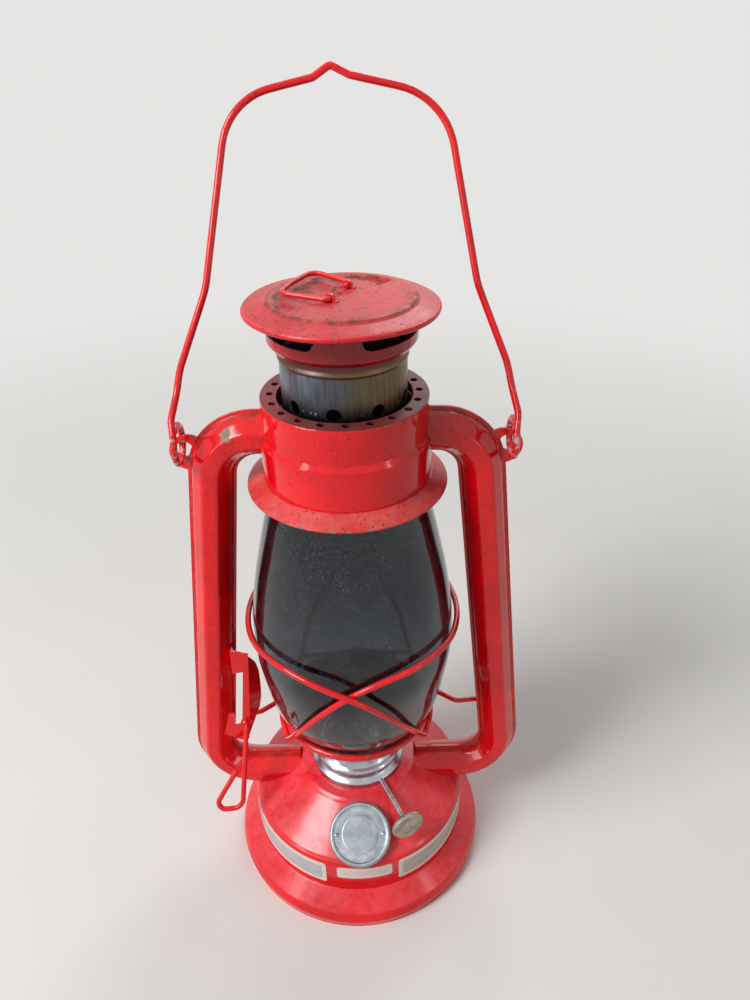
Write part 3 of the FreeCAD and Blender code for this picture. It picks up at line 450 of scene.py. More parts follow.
rubber, tree, glossy = shader("moulded_rubber", **{"IOR": 1.5, "Roughness": 0.8})
place = add(tree, "TexCoord").outputs
bloom = add(tree, "TexNoise", {"Vector": place["Object"], "Scale": 1 / (1.5 * MM), "Detail": 3.0})
tone = add(tree, "ValToRGB", {"Fac": bloom}, stops=((0.3, colour("#161616")), (0.8, colour("#2b2a28"))))
tree.links.new(tone.outputs[0], glossy.inputs["Base Color"])
coat("cap_gasket", rubber)


# ---------------------------------------------------------------- burner collar
# A tinplate collar screws into the tank: a bright lip on the step, a concave band, and a bead
# that the air gallery is spun over.  A bent tab on its left locks the gallery, and a short
# stroke is stamped in the front of the lip.
collar_tin = tinplate("spun_tinplate", light="#bfc5cd", dark="#9598a0", rough=0.24, grain=0.06, patch=16.0,
                      stain=0.08)
COLLAR_LINE = [(15.6, 45.4, 0), (15.6, 53.0, 0.4), (22.8, 53.0, 0.3), (23.9, 53.7, 0.5),
               (23.9, 56.3, 0.8), (22.6, 57.2, 0.6), (21.4, 58.2, 1.4), (21.2, 60.0, 1.2),
               (21.7, 61.2, 0.4), (20.9, 61.6, 0)]
LIP_R = 24
STROKE_Z = 55.0
TAB_LINE = [(-23.2, -1.0, 54.6), (-23.6, -1.0, 57.4), (-22.4, -1.0, 59.2), (-22.5, -1.0, 61.6),
            (-23.6, -1.0, 62.4)]
loop, _ = walled(*rounded(COLLAR_LINE, 0.8), 0.6)
collar_points = around(loop, 288)
turn = np.linspace(0, 2 * math.pi, 288, endpoint=False)[:, None]
z = loop[None, :, 1]
from_stroke = np.sin(turn / 2 + math.radians(2)) * 2 * LIP_R
stroke = np.exp(-(from_stroke / 0.35) ** 4) * np.exp(-((z - STROKE_Z) / 1.0) ** 6)
collar_points[..., :2] *= (1 - stroke * 0.25 / LIP_R)[..., None]


def strip(line, width, thickness, across):
    """A flat strip of sheet along a line of points: a box section swept with rounded corners."""
    along = np.gradient(line, axis=0)
    along /= np.linalg.norm(along, axis=1)[:, None]
    side = np.broadcast_to(np.array(across, float), line.shape)
    out = np.cross(along, side)
    c = np.linspace(0, 2 * math.pi, 24, endpoint=False)
    x = np.sign(np.cos(c)) * np.abs(np.cos(c)) ** 0.3 * width / 2
    y = np.sign(np.sin(c)) * np.abs(np.sin(c)) ** 0.3 * thickness / 2
    line, side, out = (np.concatenate([m[:1], m, m[-1:]]) for m in (line, side, out))
    fill = np.ones((len(line), 1, 1))
    fill[[0, -1]] = 0.0
    return line[:, None] + (side[:, None] * x[None, :, None] + out[:, None] * y[None, :, None]) * fill


tab_points = strip(evened(np.array(TAB_LINE), 0.4), 3.4, 0.6, (0, 1, 0))
collar = surface("collar", grid(collar_points), grid(tab_points, closed=False))
dress(collar, "frame", "tinplate", collar_tin, "burner_collar")


# ---------------------------------------------------------------- air gallery and flame cone
# The gallery is spun tinplate: a rolled shoulder over the collar, drawn in to carry the domed
# cone, whose slot lets the flame through.  Heat has browned the cone.
SHOULDER_LINE = [(20.2, 61.9, 0), (22.5, 62.0, 0.5), (22.75, 62.9, 0.7), (22.0, 63.9, 0.9),
                 (20.5, 64.8, 0.9), (19.5, 66.2, 0.8), (18.9, 67.6, 0)]
AIR_FLOOR_LINE = [(15.0, 61.75, 0), (20.8, 61.75, 0)]
gallery = surface("gallery", turned(SHOULDER_LINE, 0.6), turned(AIR_FLOOR_LINE, 0.4, 128))
dress(gallery, "frame", "tinplate", collar_tin, "burner_gallery")
coat("flame_cone", tinplate("browned_tinplate", light="#b3aea2", dark="#6f665a", rough=0.34, patch=3.0))
coat("wick_tube", collar_tin)


# ---------------------------------------------------------------- wick
# A flat strip of woven cotton runs from the fuel up its tube to the flame.  Its weave shows as
# rows of ribs, and its top is charred and a little ragged.
WICK_TURN = math.radians(25)
SHAFT_OUT = np.array([math.sin(WICK_TURN), -math.cos(WICK_TURN), 0.0])
SHAFT_SIDE = np.array([math.cos(WICK_TURN), math.sin(WICK_TURN), 0.0])
WICK_ASIDE = -2.7
WICK_FOOT = 31.0
WICK_TOP = 68.4
WICK_WIDE = 11.7
WICK_DEEP = 1.64
WICK_ROW = 0.2
RIB = 1.2
cotton, tree, glossy = shader("woven_cotton", **{"IOR": 1.45, "Roughness": 0.9, "Sheen Weight": 0.3})
place = add(tree, "TexCoord").outputs
yarn = add(tree, "TexWave", {"Vector": place["Object"], "Scale": 1 / (RIB * MM) / 20, "Distortion": 1.5},
           bands_direction="Z")
burnt = add(tree, "SeparateXYZ", {"Vector": place["Object"]})
char = add(tree, "MapRange", {"Value": burnt.outputs["Z"], "From Min": 62 * MM, "From Max": 67 * MM})
woven = add(tree, "Mix", {0: yarn.outputs[1], 6: colour("#b9a886"), 7: colour("#e0d5b8")},
            data_type="RGBA")
charred = add(tree, "Mix", {0: char, 6: woven, 7: colour("#1a1512")}, data_type="RGBA")
tree.links.new(charred.outputs[2], glossy.inputs["Base Color"])

height = np.arange(WICK_FOOT, WICK_TOP + 0.01, WICK_ROW)
c = np.linspace(0, 2 * math.pi, 64, endpoint=False)
wide = np.sign(np.cos(c)) * np.abs(np.cos(c)) ** 0.4 * WICK_WIDE / 2
deep = np.sign(np.sin(c)) * np.abs(np.sin(c)) ** 0.4 * WICK_DEEP / 2
rib = 1 + 0.08 * np.sin(2 * math.pi * height / RIB)[:, None] * np.cos(9 * c)[None]
closing = np.clip(np.minimum(height - WICK_FOOT, height[-1] - height) / WICK_ROW, 0, 1)[:, None]
ragged = np.clip(height[:, None] - WICK_TOP + 1, 0, 1) * 0.5 * np.sin(5 * wide)[None]
level = np.stack([np.zeros_like(rib), np.zeros_like(rib), height[:, None] - np.abs(ragged)], -1)
wick_points = (SHAFT_SIDE * WICK_ASIDE + SHAFT_OUT * (wide * closing)[..., None]
               + SHAFT_SIDE * (deep * rib * closing)[..., None] + level)
dress(surface("wick_strip", grid(wick_points, closed=False)), "wick_strip", "cotton", cotton, "wick")


# ---------------------------------------------------------------- wick shaft and knob
# Drawn wire carries two star wheels inside the tube and a pressed button outside.  The button
# has a domed middle, a dished ring and a rolled edge with fine knurls, and its plating is dull.
steel = tinplate("drawn_steel", light="#c6cbd3", dark="#9499a1", rough=0.4)
for name in ("wick_shaft", "star_wheels"):
    coat(name, steel)
knob_plate = tinplate("dull_plated_steel", light="#b5ae9f", dark="#8b8578", rough=0.40)
KNOB_AT = SHAFT_SIDE * 2.0 + SHAFT_OUT * 52.2 + np.array([0, 0, 55.5])
KNOB_R = 8.0
KNOB_LINE = [(0, 2.1, 0), (2.6, 2.0, 2.0), (4.6, 1.35, 1.5), (6.3, 1.45, 0.8), (7.3, 1.55, 0.4),
             (KNOB_R, 0.7, 0.6), (KNOB_R, -0.7, 0.5), (7.2, -1.6, 0.4), (3.0, -1.5, 0.5),
             (2.2, -2.0, 0.3), (2.2, -3.8, 0.3), (1.25, -3.8, 0.1), (1.25, 0.6, 0.1), (0, 0.8, 0)]
profile, _ = rounded(KNOB_LINE, 0.5)
knob_points = around(profile, 240)
turn = np.linspace(0, 2 * math.pi, 240, endpoint=False)[:, None]
knurl = 1 + 0.012 * np.cos(40 * turn) * np.exp(-((profile[None, :, 0] - KNOB_R) / 0.5) ** 2)
knob_points[..., :2] *= knurl[..., None]
knob = surface("knob", grid(placed(knob_points, KNOB_AT, SHAFT_SIDE, SHAFT_OUT)))
dress(knob, "wick_drive", "dull_plate", knob_plate, "wick_knob")


# ---------------------------------------------------------------- side tubes
# Each tube is two stamped halves with sloping sides and a rounded front, crimped along a narrow
# flange that leaves a fine groove.  At each upper bend the flange widens into an ear with a
# hole for the bail.  A knock has chipped the left bend to the metal.
TOP = (53.3, 247.5)
LOW = (76.35, 46.0)
NECK_STEP_R = 30.8
CROWN_STEP = ((34.3, 247.2), (32.9, 249.5))
TUBE_SECTION = [(9.9, 0.05, 0), (9.9, 0.6, 0.2, 0.5), (8.6, 0.75, 0.5), (7.6, 3.9, 7.0),
                (3.2, 9.5, 2.6), (-3.2, 9.5, 2.6), (-7.6, 3.9, 7.0), (-8.6, 0.75, 0.5),
                (-9.9, 0.6, 0.2, 0.5), (-9.9, 0.05, 0)]
BEND_AT = (66.0, 243.0)
CHIP_AT = (-47.0, -8.0, 251.0)
CHIP_SIZE = (2.6, 3.0, 3.6)
EAR = (63.5, 238.9)
EAR_R = 8.0
HOLE = (65.1, 240.4)
HOLE_R = 3.4


def side_tube(side, front):
    """One stamped half, swept along its line in the plane y = 0.

    The section's x runs across the line and its y is depth.  Its ends are cut to cylinders,
    x = sqrt(r^2 - y^2): r is the neck step's below, and the middle of the crown's wall above.
    """
    line, _ = rounded([(35.0, TOP[1], 0), (*TOP, 19.0), (*LOW, 21.0), (NECK_STEP_R, LOW[1], 0)], 2.5)
    section, edge = walled(*rounded(TUBE_SECTION, 0.9), 0.5)
    along = np.gradient(line, axis=0)
    along /= np.linalg.norm(along, axis=1)[:, None]
    normal = np.stack([along[:, 1], -along[:, 0]], -1)
    xz = line[:, None] + normal[:, None] * section[None, :, :1]
    depth = np.broadcast_to(section[None, :, 1], xz.shape[:2]).copy()
    x = xz[..., 0].copy()
    step_r, step_z = zip(*CROWN_STEP)
    wall = np.interp(xz[0, :, 1], step_z, step_r) - SHEET / 2
    x[0] = np.sqrt(wall ** 2 - depth[0] ** 2)
    x[-1] = np.sqrt(NECK_STEP_R ** 2 - depth[-1] ** 2)
    points = np.stack([side * x, depth * (-1 if front else 1), xz[..., 1]], -1)
    bend = np.linalg.norm(line - np.array(BEND_AT), axis=1)
    worn = edge[None] * (0.5 + 0.5 * np.exp(-(bend / 30) ** 2)[:, None])
    groove = np.exp(-((np.abs(section[:, 0]) - 8.5) / 0.5) ** 2) * (section[:, 1] > 0.3)
    lying = np.exp(-((line[:, 1] - TOP[1]) / 9) ** 2)[:, None] * 0.25 + groove[None] * 0.55
    if side < 0 and front:
        chip = np.linalg.norm((points - np.array(CHIP_AT)) / np.array(CHIP_SIZE), axis=2)
        worn = np.maximum(worn, np.exp(-chip ** 4) * 1.6)
    closed = np.concatenate([points[:1].mean(1, keepdims=True).repeat(points.shape[1], 1), points])
    return grid(closed, closed=False, wear=np.concatenate([worn[:1], worn]),
                grime=np.concatenate([lying[:1], lying]))


def ear(side, front):
    """One half of an ear: a disc of sheet, thicker at the turned edge of its hole.

    Its rays leave the hole's centre h; the edge of the disc, of centre c and radius R, is on a
    ray of direction d at -(h - c).d + sqrt(((h - c).d)^2 + R^2 - |h - c|^2).
    """
    hole = np.array(HOLE)
    off = hole - np.array(EAR)
    a = np.linspace(0, 2 * math.pi, 96, endpoint=False)
    d = np.stack([np.cos(a), np.sin(a)], -1)
    reach = -(d @ off) + np.sqrt((d @ off) ** 2 + EAR_R ** 2 - off @ off)
    t = np.array([0, 0.0, 0.06, 0.3, 0.6, 0.9, 0.97, 1.0, 1.0, 0.97, 0.5, 0.0])
    y = np.array([0.02, 0.55, 0.75, 0.62, 0.6, 0.6, 0.56, 0.4, 0.02, 0.0, 0.0, 0.0])
    r = HOLE_R + (reach[:, None] - HOLE_R) * t[None]
    xz = hole + d[:, None] * r[..., None]
    out = -1 if front else 1
    points = np.stack([side * xz[..., 0], np.broadcast_to(out * y, r.shape), xz[..., 1]], -1)
    return grid(points, wear=np.array([0.5, 0.7, 0.5, 0.1, 0.0, 0.1, 0.4, 0.5, 0.4, 0.2, 0.1, 0.3]))


for name, side in (("left", -1), ("right", 1)):
    for half, front in (("front", True), ("rear", False)):
        piece = surface(name + "_tube_stamping_" + half, side_tube(side, front), ear(side, front))
        dress(piece, "frame", "red_enamel", body_enamel, name + "_tube_" + half)


# ---------------------------------------------------------------- crown
# The crown is the air chamber between the tubes: a wall stepped in above its middle, a pierced
# plate round the chimney and a sloping skirt with its edge turned under.  Heat and soot have
# stained the plate purple-brown, and dust lies on the skirt.
def tube_mouth(points):
    """How dark the joint round each tube is: 1 on the ring (z / 9.2)^2 + (y / 10)^2 = 1 about it."""
    u = (points[..., 2] - TOP[1]) / 9.2
    v = points[..., 1] / 10.0
    away = np.abs(np.sqrt(u ** 2 + v ** 2) - 1) * 9.5
    return np.exp(-(away / 0.9) ** 2) * (np.abs(points[..., 0]) > 20)


CROWN_TOP = 264.1
CROWN_LINE = [(34.3, 230.2, 0), (*CROWN_STEP[0], 0.7), (*CROWN_STEP[1], 0.7), (32.9, 263.6, 0.5),
              (32.5, CROWN_TOP, 0, 0.2)]
loop, wear = walled(*rounded(CROWN_LINE, 1.2), SHEET)
shell_points = around(loop, 256)
crown_grime = np.maximum(tube_mouth(shell_points), inner_side(len(loop)))
crown = surface("crown", grid(shell_points, wear=wear, grime=crown_grime))
dress(crown, "frame", "red_enamel", body_enamel, "crown_shell")


def pierced(near, far, thickness, along, half_open, segments, fade=4.0):
    """A turned sheet in two bands that part round its holes, sooty on its inner side.

    The bands meet on the line of hole centres.  Their facing edges draw back along the sheet
    by half_open(a) millimetres, which fades to nothing at the fade distance from that line.
    """
    a = np.linspace(0, 2 * math.pi, segments, endpoint=False)
    bands = []
    for corners, edge, way in ((near, near[-1], -1), (far, far[0], 1)):
        loop, wear = walled(*rounded(corners, 0.8), thickness)
        from_edge = np.abs((loop - np.array(edge[:2])) @ np.array(along))
        shift = way * half_open(a)[:, None] * np.clip(1 - from_edge / fade, 0, 1)[None]
        r = loop[None, :, 0] + shift * along[0]
        z = loop[None, :, 1] + shift * along[1]
        points = np.stack([r * np.sin(a)[:, None], -r * np.cos(a)[:, None], z], -1)
        bands.append(grid(points, wear=wear, grime=inner_side(len(loop))))
    return bands


def round_holes(count, first, radius, hole):
    """Half openings of evenly spaced round holes: sqrt(hole^2 - (arc from the nearest)^2)."""
    def half_open(a):
        pitch = 2 * math.pi / count
        off = (a - math.radians(first) + pitch / 2) % pitch - pitch / 2
        return np.sqrt(np.clip(hole ** 2 - (radius * off) ** 2, 0, None))
    return half_open


AIR_HOLES_R = 28.9
OUTER_BAND = [(32.7, CROWN_TOP, 0), (AIR_HOLES_R, CROWN_TOP, 0)]
INNER_BAND = [(AIR_HOLES_R, CROWN_TOP, 0), (26.3, CROWN_TOP, 0.6, 0.2), (26.3, 261.9, 0)]
stained_enamel = enamel("heat_stained_enamel", fresh="#96202c", deep="#4a131b", film="#6b4540",
                        dust=0.55, soot=0.95, gloss=0.3)
top_plate = surface("top_plate", *pierced(OUTER_BAND, INNER_BAND, SHEET, (-1, 0),
                                          round_holes(20, 1.2, AIR_HOLES_R, 1.5), 640, 2.2))
dress(top_plate, "frame", "red_enamel", stained_enamel, "crown_ring")

SKIRT_LINE = [(40.6, 225.6, 0), (41.1, 225.7, 0.2, 0.3), (41.15, 226.2, 0.4, 0.4), (39.6, 227.3, 3.0),
              (34.9, 230.2, 0.5), (33.6, 230.2, 0)]
# The pink film on the faces that look up is dust and also a painted sheen of the light above.
dust_sheen_enamel = enamel("dust_sheen_enamel", fresh="#ee0f1a", deep="#d20b15", film="#e0706c", dust=0.75,
                      soot=0.95, gloss=0.24)
skirt = surface("skirt", turned(SKIRT_LINE, 0.7, 256, grime=0.25))
dress(skirt, "frame", "red_enamel", dust_sheen_enamel, "crown_skirt")


# ---------------------------------------------------------------- lever bracket
# A folded sheet bracket is welded to the left tube: a C-shaped face with a catch, a web, and an
# eye that the lift wire turns in.  Its cut edges are softened by the enamel.
def softened(node, name, radius):
    """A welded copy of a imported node, its flat faces joined and its edges rounded."""
    mesh = nodes[node].data.copy()
    welded = bmesh.new()
    welded.from_mesh(mesh)
    bmesh.ops.remove_doubles(welded, verts=welded.verts, dist=2e-6)
    bmesh.ops.dissolve_limit(welded, angle_limit=math.radians(1), verts=welded.verts, edges=welded.edges)
    welded.to_mesh(mesh)
    welded.free()
    piece = bpy.data.objects.new(name, mesh)
    bpy.context.scene.collection.objects.link(piece)
    edge = piece.modifiers.new("edge", "BEVEL")
    edge.width = radius * MM
    edge.segments = 2
    edge.limit_method = "ANGLE"
    edge.angle_limit = math.radians(35)
    edge.harden_normals = True
    return piece


dress(softened("lever_bracket", "bracket", 0.18), "frame", "red_enamel", body_enamel, "lever_bracket")


# ---------------------------------------------------------------- globe plate
# A dished plate rises from the burner to a ledge for the globe and ends in a wired rim.  A tab
# at its back rests on the lift wire.
PLATE_LINE = [(19.5, 68.3, 0), (21.6, 71.6, 4.0), (29.2, 86.2, 2.0), (33.4, 87.2, 1.6), (34.7, 90.8, 0)]


def bead(r, z, radius):
    """The section of a wired or rolled edge: a circle of the radius about (r, z)."""
    t = np.linspace(0, 2 * math.pi, 25)[:-1]
    return np.stack([r + radius * np.cos(t), z + radius * np.sin(t)], -1)


plate = surface("plate", turned(PLATE_LINE, 0.7), grid(around(bead(35.5, 92.3, 1.7), 224), wear=0.25))
dress(plate, "globe_cage", "red_enamel", body_enamel, "globe_plate")
dress(softened("lift_tongue", "tongue", 0.15), "globe_cage", "red_enamel", body_enamel, "lift_tongue")


# ---------------------------------------------------------------- guard hoops
# Two hoops of enamelled wire guard the globe.  Each rides high on one side and hugs the plate
# on the other, and they cross at the front and the back, where they are welded.
def bent(corners, closed=False, spacing=1.2):
    """Points along straight runs and tangent arcs through (x, y, z, bend radius) corners.

    An arc in the plane of unit directions a and b is p - a l + r (sin t a + (1 - cos t) n),
    with l = r tan(turn / 2) and n the part of b across a.
    """
    p = np.array([c[:3] for c in corners], float)
    bends = [c[3] for c in corners]
    order = range(len(p)) if closed else range(1, len(p) - 1)
    line = [] if closed else [p[:1]]
    for i in order:
        a = p[i] - p[i - 1]
        b = p[(i + 1) % len(p)] - p[i]
        room = min(np.linalg.norm(a), np.linalg.norm(b)) * 0.49
        a /= np.linalg.norm(a)
        b /= np.linalg.norm(b)
        turn = math.acos(max(-1.0, min(1.0, a @ b)))
        radius = min(bends[i], room / math.tan(turn / 2)) if turn > 1e-4 else 0.01
        n = b - a * (a @ b)
        n /= max(np.linalg.norm(n), 1e-9)
        t = np.linspace(0, turn, 3 + int(turn * 8))[:, None]
        line.append(p[i] - a * radius * math.tan(turn / 2) + radius * (np.sin(t) * a + (1 - np.cos(t)) * n))
    line = np.concatenate(line + ([line[0][:1]] if closed else [p[-1:]]))
    return evened(line, spacing)[:-1] if closed else evened(line, spacing)


def drawn_wire(line, radius, closed=False, sides=16, wear=0.15):
    """The grid of a round wire along a line, its rings carried on without twist.

    Each ring's first direction is the last one's with its part along the wire taken away; an
    open wire ends in a dome of rings r sin(t), set on by r cos(t).
    """
    if closed:
        along = np.roll(line, -1, 0) - np.roll(line, 1, 0)
    else:
        along = np.gradient(line, axis=0)
    along /= np.linalg.norm(along, axis=1)[:, None]
    aside = [np.cross(along[0], np.eye(3)[np.abs(along[0]).argmin()])]
    for tangent in along:
        carried = aside[-1] - tangent * (aside[-1] @ tangent)
        aside.append(carried / np.linalg.norm(carried))
    aside = np.array(aside[1:])
    size = np.full(len(line), radius)
    if not closed:
        t = np.linspace(0, math.pi / 2, 5)[:-1]
        head = line[0] - along[0] * (radius * 0.6 * np.cos(t))[:, None]
        tail = line[-1] + along[-1] * (radius * 0.6 * np.cos(t[::-1]))[:, None]
        line = np.concatenate([head, line, tail])
        size = np.concatenate([radius * np.sin(t), size, radius * np.sin(t[::-1])])
        along, aside = (np.concatenate([m[:1].repeat(4, 0), m, m[-1:].repeat(4, 0)]) for m in (along, aside))
    c = np.linspace(0, 2 * math.pi, sides, endpoint=False)[None, :, None]
    ring = aside[:, None] * np.cos(c) + np.cross(along, aside)[:, None] * np.sin(c)
    return grid(line[:, None] + ring * size[:, None, None], closed=closed, wear=wear)


def polar(azimuth, r, z):
    """A point from its azimuth in degrees, counted from the front toward +X."""
    return r * math.sin(math.radians(azimuth)), -r * math.cos(math.radians(azimuth)), z


HOOP_WIRE = 1.35
for name, high, crossing in (("right", 1, 48.7), ("left", -1, 51.5)):
    half = [(90, 49.9, 153.6), (60, 50.2, 155.4), (34, 49.8, 156.2), (13, crossing, 153.4),
            (-3, crossing, 146.6), (-18, crossing - 0.8, 133.0), (-33, 47.0, 115.0), (-61, 38.3, 86.9),
            (-76, 38.2, 90.0), (-90, 38.0, 90.0)]
    bends = [60] * 7 + [3.2] + [60] * 2
    front = [(high * x, y, z, bend) for (x, y, z), bend in zip((polar(*p) for p in half), bends)]
    rear = [(x, -y, z, bend) for x, y, z, bend in front[-2:0:-1]]
    hoop = surface(name + "_hoop", drawn_wire(bent(front + rear, True), HOOP_WIRE, True))
    dress(hoop, "globe_cage", "red_enamel", body_enamel, "guard_hoop_" + name)


# ---------------------------------------------------------------- globe
# The globe is blown glass, open at both ends, with fire-polished lips.  Smoke has darkened it
# from inside down to a clearer band near the burner, and dust and seeds sparkle in it.
def flowing(points, per_span=8):
    """A smooth line through points: Catmull-Rom, q(t) = the cubic with slopes (next - last) / 2."""
    p = np.concatenate([2 * points[:1] - points[1:2], points, 2 * points[-1:] - points[-2:-1]])
    t = np.linspace(0, 1, per_span, endpoint=False)[None, :, None]
    a, b, c, d = (p[k:len(p) - 3 + k, None] for k in range(4))
    q = b + t * (c - a) / 2 + t ** 2 * (2 * a - 5 * b + 4 * c - d) / 2 + t ** 3 * (3 * (b - c) + d - a) / 2
    return np.concatenate([q.reshape(-1, points.shape[1]), points[-1:]])


glass, tree, glossy = shader("smoked_glass", **{"IOR": 1.5, "Roughness": 0.015})
place = add(tree, "TexCoord").outputs
part = add(tree, "SeparateXYZ", {"Vector": place["Object"]})
haze = add(tree, "TexNoise", {"Vector": place["Object"], "Scale": 1 / (22 * MM), "Detail": 5.0})
uneven = add(tree, "Math", {0: haze, 1: 26 * MM, 2: part.outputs["Z"]}, operation="MULTIPLY_ADD")
smoke = add(tree, "MapRange", {"Value": uneven, "From Min": 112 * MM, "From Max": 150 * MM})
tint = add(tree, "Mix", {0: smoke, 6: colour("#b7bbb9"), 7: colour("#414b5a")}, data_type="RGBA")
grain = add(tree, "TexNoise", {"Vector": place["Object"], "Scale": 1 / (1.1 * MM), "Detail": 6.0,
                               "Roughness": 0.8})
powder = add(tree, "ValToRGB", {"Fac": grain}, stops=((0.50, 0.0), (0.72, 0.4)))
seeds = add(tree, "TexVoronoi", {"Vector": place["Object"], "Scale": 1 / (1.2 * MM)})
seed = add(tree, "ValToRGB", {"Fac": seeds.outputs["Distance"]}, stops=((0.07, 0.8), (0.14, 0.0)))
some = add(tree, "TexNoise", {"Vector": place["Object"], "Scale": 1 / (9 * MM), "Detail": 3.0})
some_cut = add(tree, "ValToRGB", {"Fac": some}, stops=((0.34, 0.10), (0.52, 1.0)))
few = add(tree, "Math", {0: seed, 1: some_cut}, operation="MULTIPLY")
thin = add(tree, "Math", {0: powder, 1: some_cut}, operation="MULTIPLY")
dust = add(tree, "Math", {0: few, 1: thin}, operation="MAXIMUM")
clear = add(tree, "Math", {0: 1.0, 1: dust}, operation="SUBTRACT")
dusted = add(tree, "Mix", {0: dust, 6: tint, 7: colour("#b4bcc4")}, data_type="RGBA")
tree.links.new(dusted.outputs[2], glossy.inputs["Base Color"])
tree.links.new(clear.outputs[0], glossy.inputs["Transmission Weight"])
ripple = add(tree, "TexNoise", {"Vector": place["Object"], "Scale": 1 / (26 * MM), "Detail": 1.0})
wavy = add(tree, "Bump", {"Height": ripple, "Strength": 0.10, "Distance": 1.0 * MM})
tree.links.new(wavy.outputs[0], glossy.inputs["Normal"])

GLOBE_LINE = [(32.2, 88.3), (32.4, 91.2), (33.5, 94.4), (36.9, 98.6), (40.2, 104.0), (42.3, 111.0),
              (43.9, 121.0), (46.0, 136.0), (46.3, 146.0), (45.9, 156.0), (44.4, 168.0), (42.3, 180.5),
              (38.9, 196.0), (35.8, 209.0), (33.2, 217.5), (32.2, 224.0), (31.8, 231.2)]
GLASS_WALL = 1.8
outline = flowing(np.array(GLOBE_LINE))
loop, _ = walled(outline, np.zeros(len(outline)), GLASS_WALL)
dress(surface("glass_globe", grid(around(loop, 224))), "globe_cage", "clear_glass", glass, "globe")


# ---------------------------------------------------------------- chimney and bell
# The chimney is thin bare steel with nine draught holes and a bead under the drum.  Heat has
# blued it on one side and browned it on the other, soot rings its holes, and a purple-brown
# band lies under the bead.  A pressed bell at its foot covers the globe's mouth.
heated, tree, glossy = shader("heat_tinted_steel", **{"Metallic": 1.0})
place = add(tree, "TexCoord").outputs
part = add(tree, "SeparateXYZ", {"Vector": place["Object"]})
drawn = add(tree, "Mapping", {"Vector": place["Object"], "Scale": (1, 1, 0.05)})
streak = add(tree, "TexNoise", {"Vector": drawn, "Scale": 1 / (1.3 * MM), "Detail": 5.0,
                                "Roughness": 0.7})
patch = add(tree, "TexNoise", {"Vector": place["Object"], "Scale": 1 / (11 * MM), "Detail": 4.0})
shifted = add(tree, "Math", {0: patch, 1: 30 * MM, 2: part.outputs["X"]}, operation="MULTIPLY_ADD")
sideways = add(tree, "MapRange", {"Value": shifted, "From Min": -9 * MM, "From Max": 39 * MM})
tints = add(tree, "ValToRGB", {"Fac": sideways},
            stops=((0.0, colour("#8791a0")), (0.35, colour("#5b5f67")), (0.6, colour("#5e574d")),
                   (0.85, colour("#6f5f42"))))
scored = add(tree, "ValToRGB", {"Fac": streak}, stops=((0.36, 0.55), (0.58, 0.0)))
streaked = add(tree, "Mix", {0: scored, 6: tints, 7: colour("#2c2a2b")}, data_type="RGBA")
wander = add(tree, "Math", {0: patch, 1: 9 * MM, 2: part.outputs["Z"]}, operation="MULTIPLY_ADD")
high = add(tree, "MapRange", {"Value": wander, "From Min": 283 * MM, "From Max": 287 * MM})
banded = add(tree, "Mix", {0: high, 6: streaked, 7: colour("#5a3b3a")}, data_type="RGBA")
low = add(tree, "MapRange", {"Value": wander, "From Min": 274 * MM, "From Max": 266 * MM, "To Max": 0.75})
sooted = add(tree, "Mix", {0: low, 6: banded, 7: colour("#23252b")}, data_type="RGBA")
rubbed = add(tree, "Attribute", attribute_name="wear")
thinly = add(tree, "Math", {0: rubbed.outputs["Fac"], 1: patch}, operation="MULTIPLY")
bright = add(tree, "Mix", {0: thinly, 6: sooted, 7: colour("#9c8350")}, data_type="RGBA")
tree.links.new(bright.outputs[2], glossy.inputs["Base Color"])
dull = add(tree, "Math", {0: streak, 1: 0.4, 2: 0.16}, operation="MULTIPLY_ADD")
tree.links.new(dull.outputs[0], glossy.inputs["Roughness"])
grooves = add(tree, "Bump", {"Height": streak, "Strength": 0.2, "Distance": 0.15 * MM})
tree.links.new(grooves.outputs[0], glossy.inputs["Normal"])

CHIMNEY_R = 24.3
DRAUGHT_Z = 265.5
CHIMNEY_FOOT = [(CHIMNEY_R, 233.0, 0), (CHIMNEY_R, DRAUGHT_Z, 0)]
CHIMNEY_HEAD = [(CHIMNEY_R, DRAUGHT_Z, 0), (CHIMNEY_R, 279.6, 0.8), (25.0, 280.9, 0.7, 0.5),
                (CHIMNEY_R, 282.2, 0.8), (CHIMNEY_R, 286.5, 0)]
BELL_Z = 232.3
BELL_LINE = [(31.4, BELL_Z, 0), (26.2, BELL_Z, 1.0), (24.9, 233.8, 1.0), (24.9, 239.0, 0)]
chimney = surface("chimney_tube", *pierced(CHIMNEY_FOOT, CHIMNEY_HEAD, 0.6, (0, 1),
                                           round_holes(9, -8.5, CHIMNEY_R, 2.75), 450))
dress(chimney, "canopy", "heated_steel", heated, "chimney")
bell = surface("bell_ring", turned(BELL_LINE, 0.6))
dress(bell, "canopy", "bare_steel", steel, "bell")


# ---------------------------------------------------------------- canopy spring
# A coil of spring wire stands between the bell and the pierced plate and is pressed flat as the
# hood is lifted.  It is made as two pieces: its upper turns go with the frame and its lower turns
# with the globe's cage.
SPRING_R = 28.4
SPRING_WIRE = 0.5
SPRING_TOP = 263.2
SPRING_MIDDLE = 247.75


def coil(start, end):
    """Part of the spring between two heights; it makes four even turns from bell to plate."""
    height = np.linspace(start, end, 193)
    share = (height - BELL_Z - SPRING_WIRE) / (SPRING_TOP - BELL_Z - 2 * SPRING_WIRE)
    a = share * 8 * math.pi
    return np.stack([SPRING_R * np.sin(a), -SPRING_R * np.cos(a), height], -1)


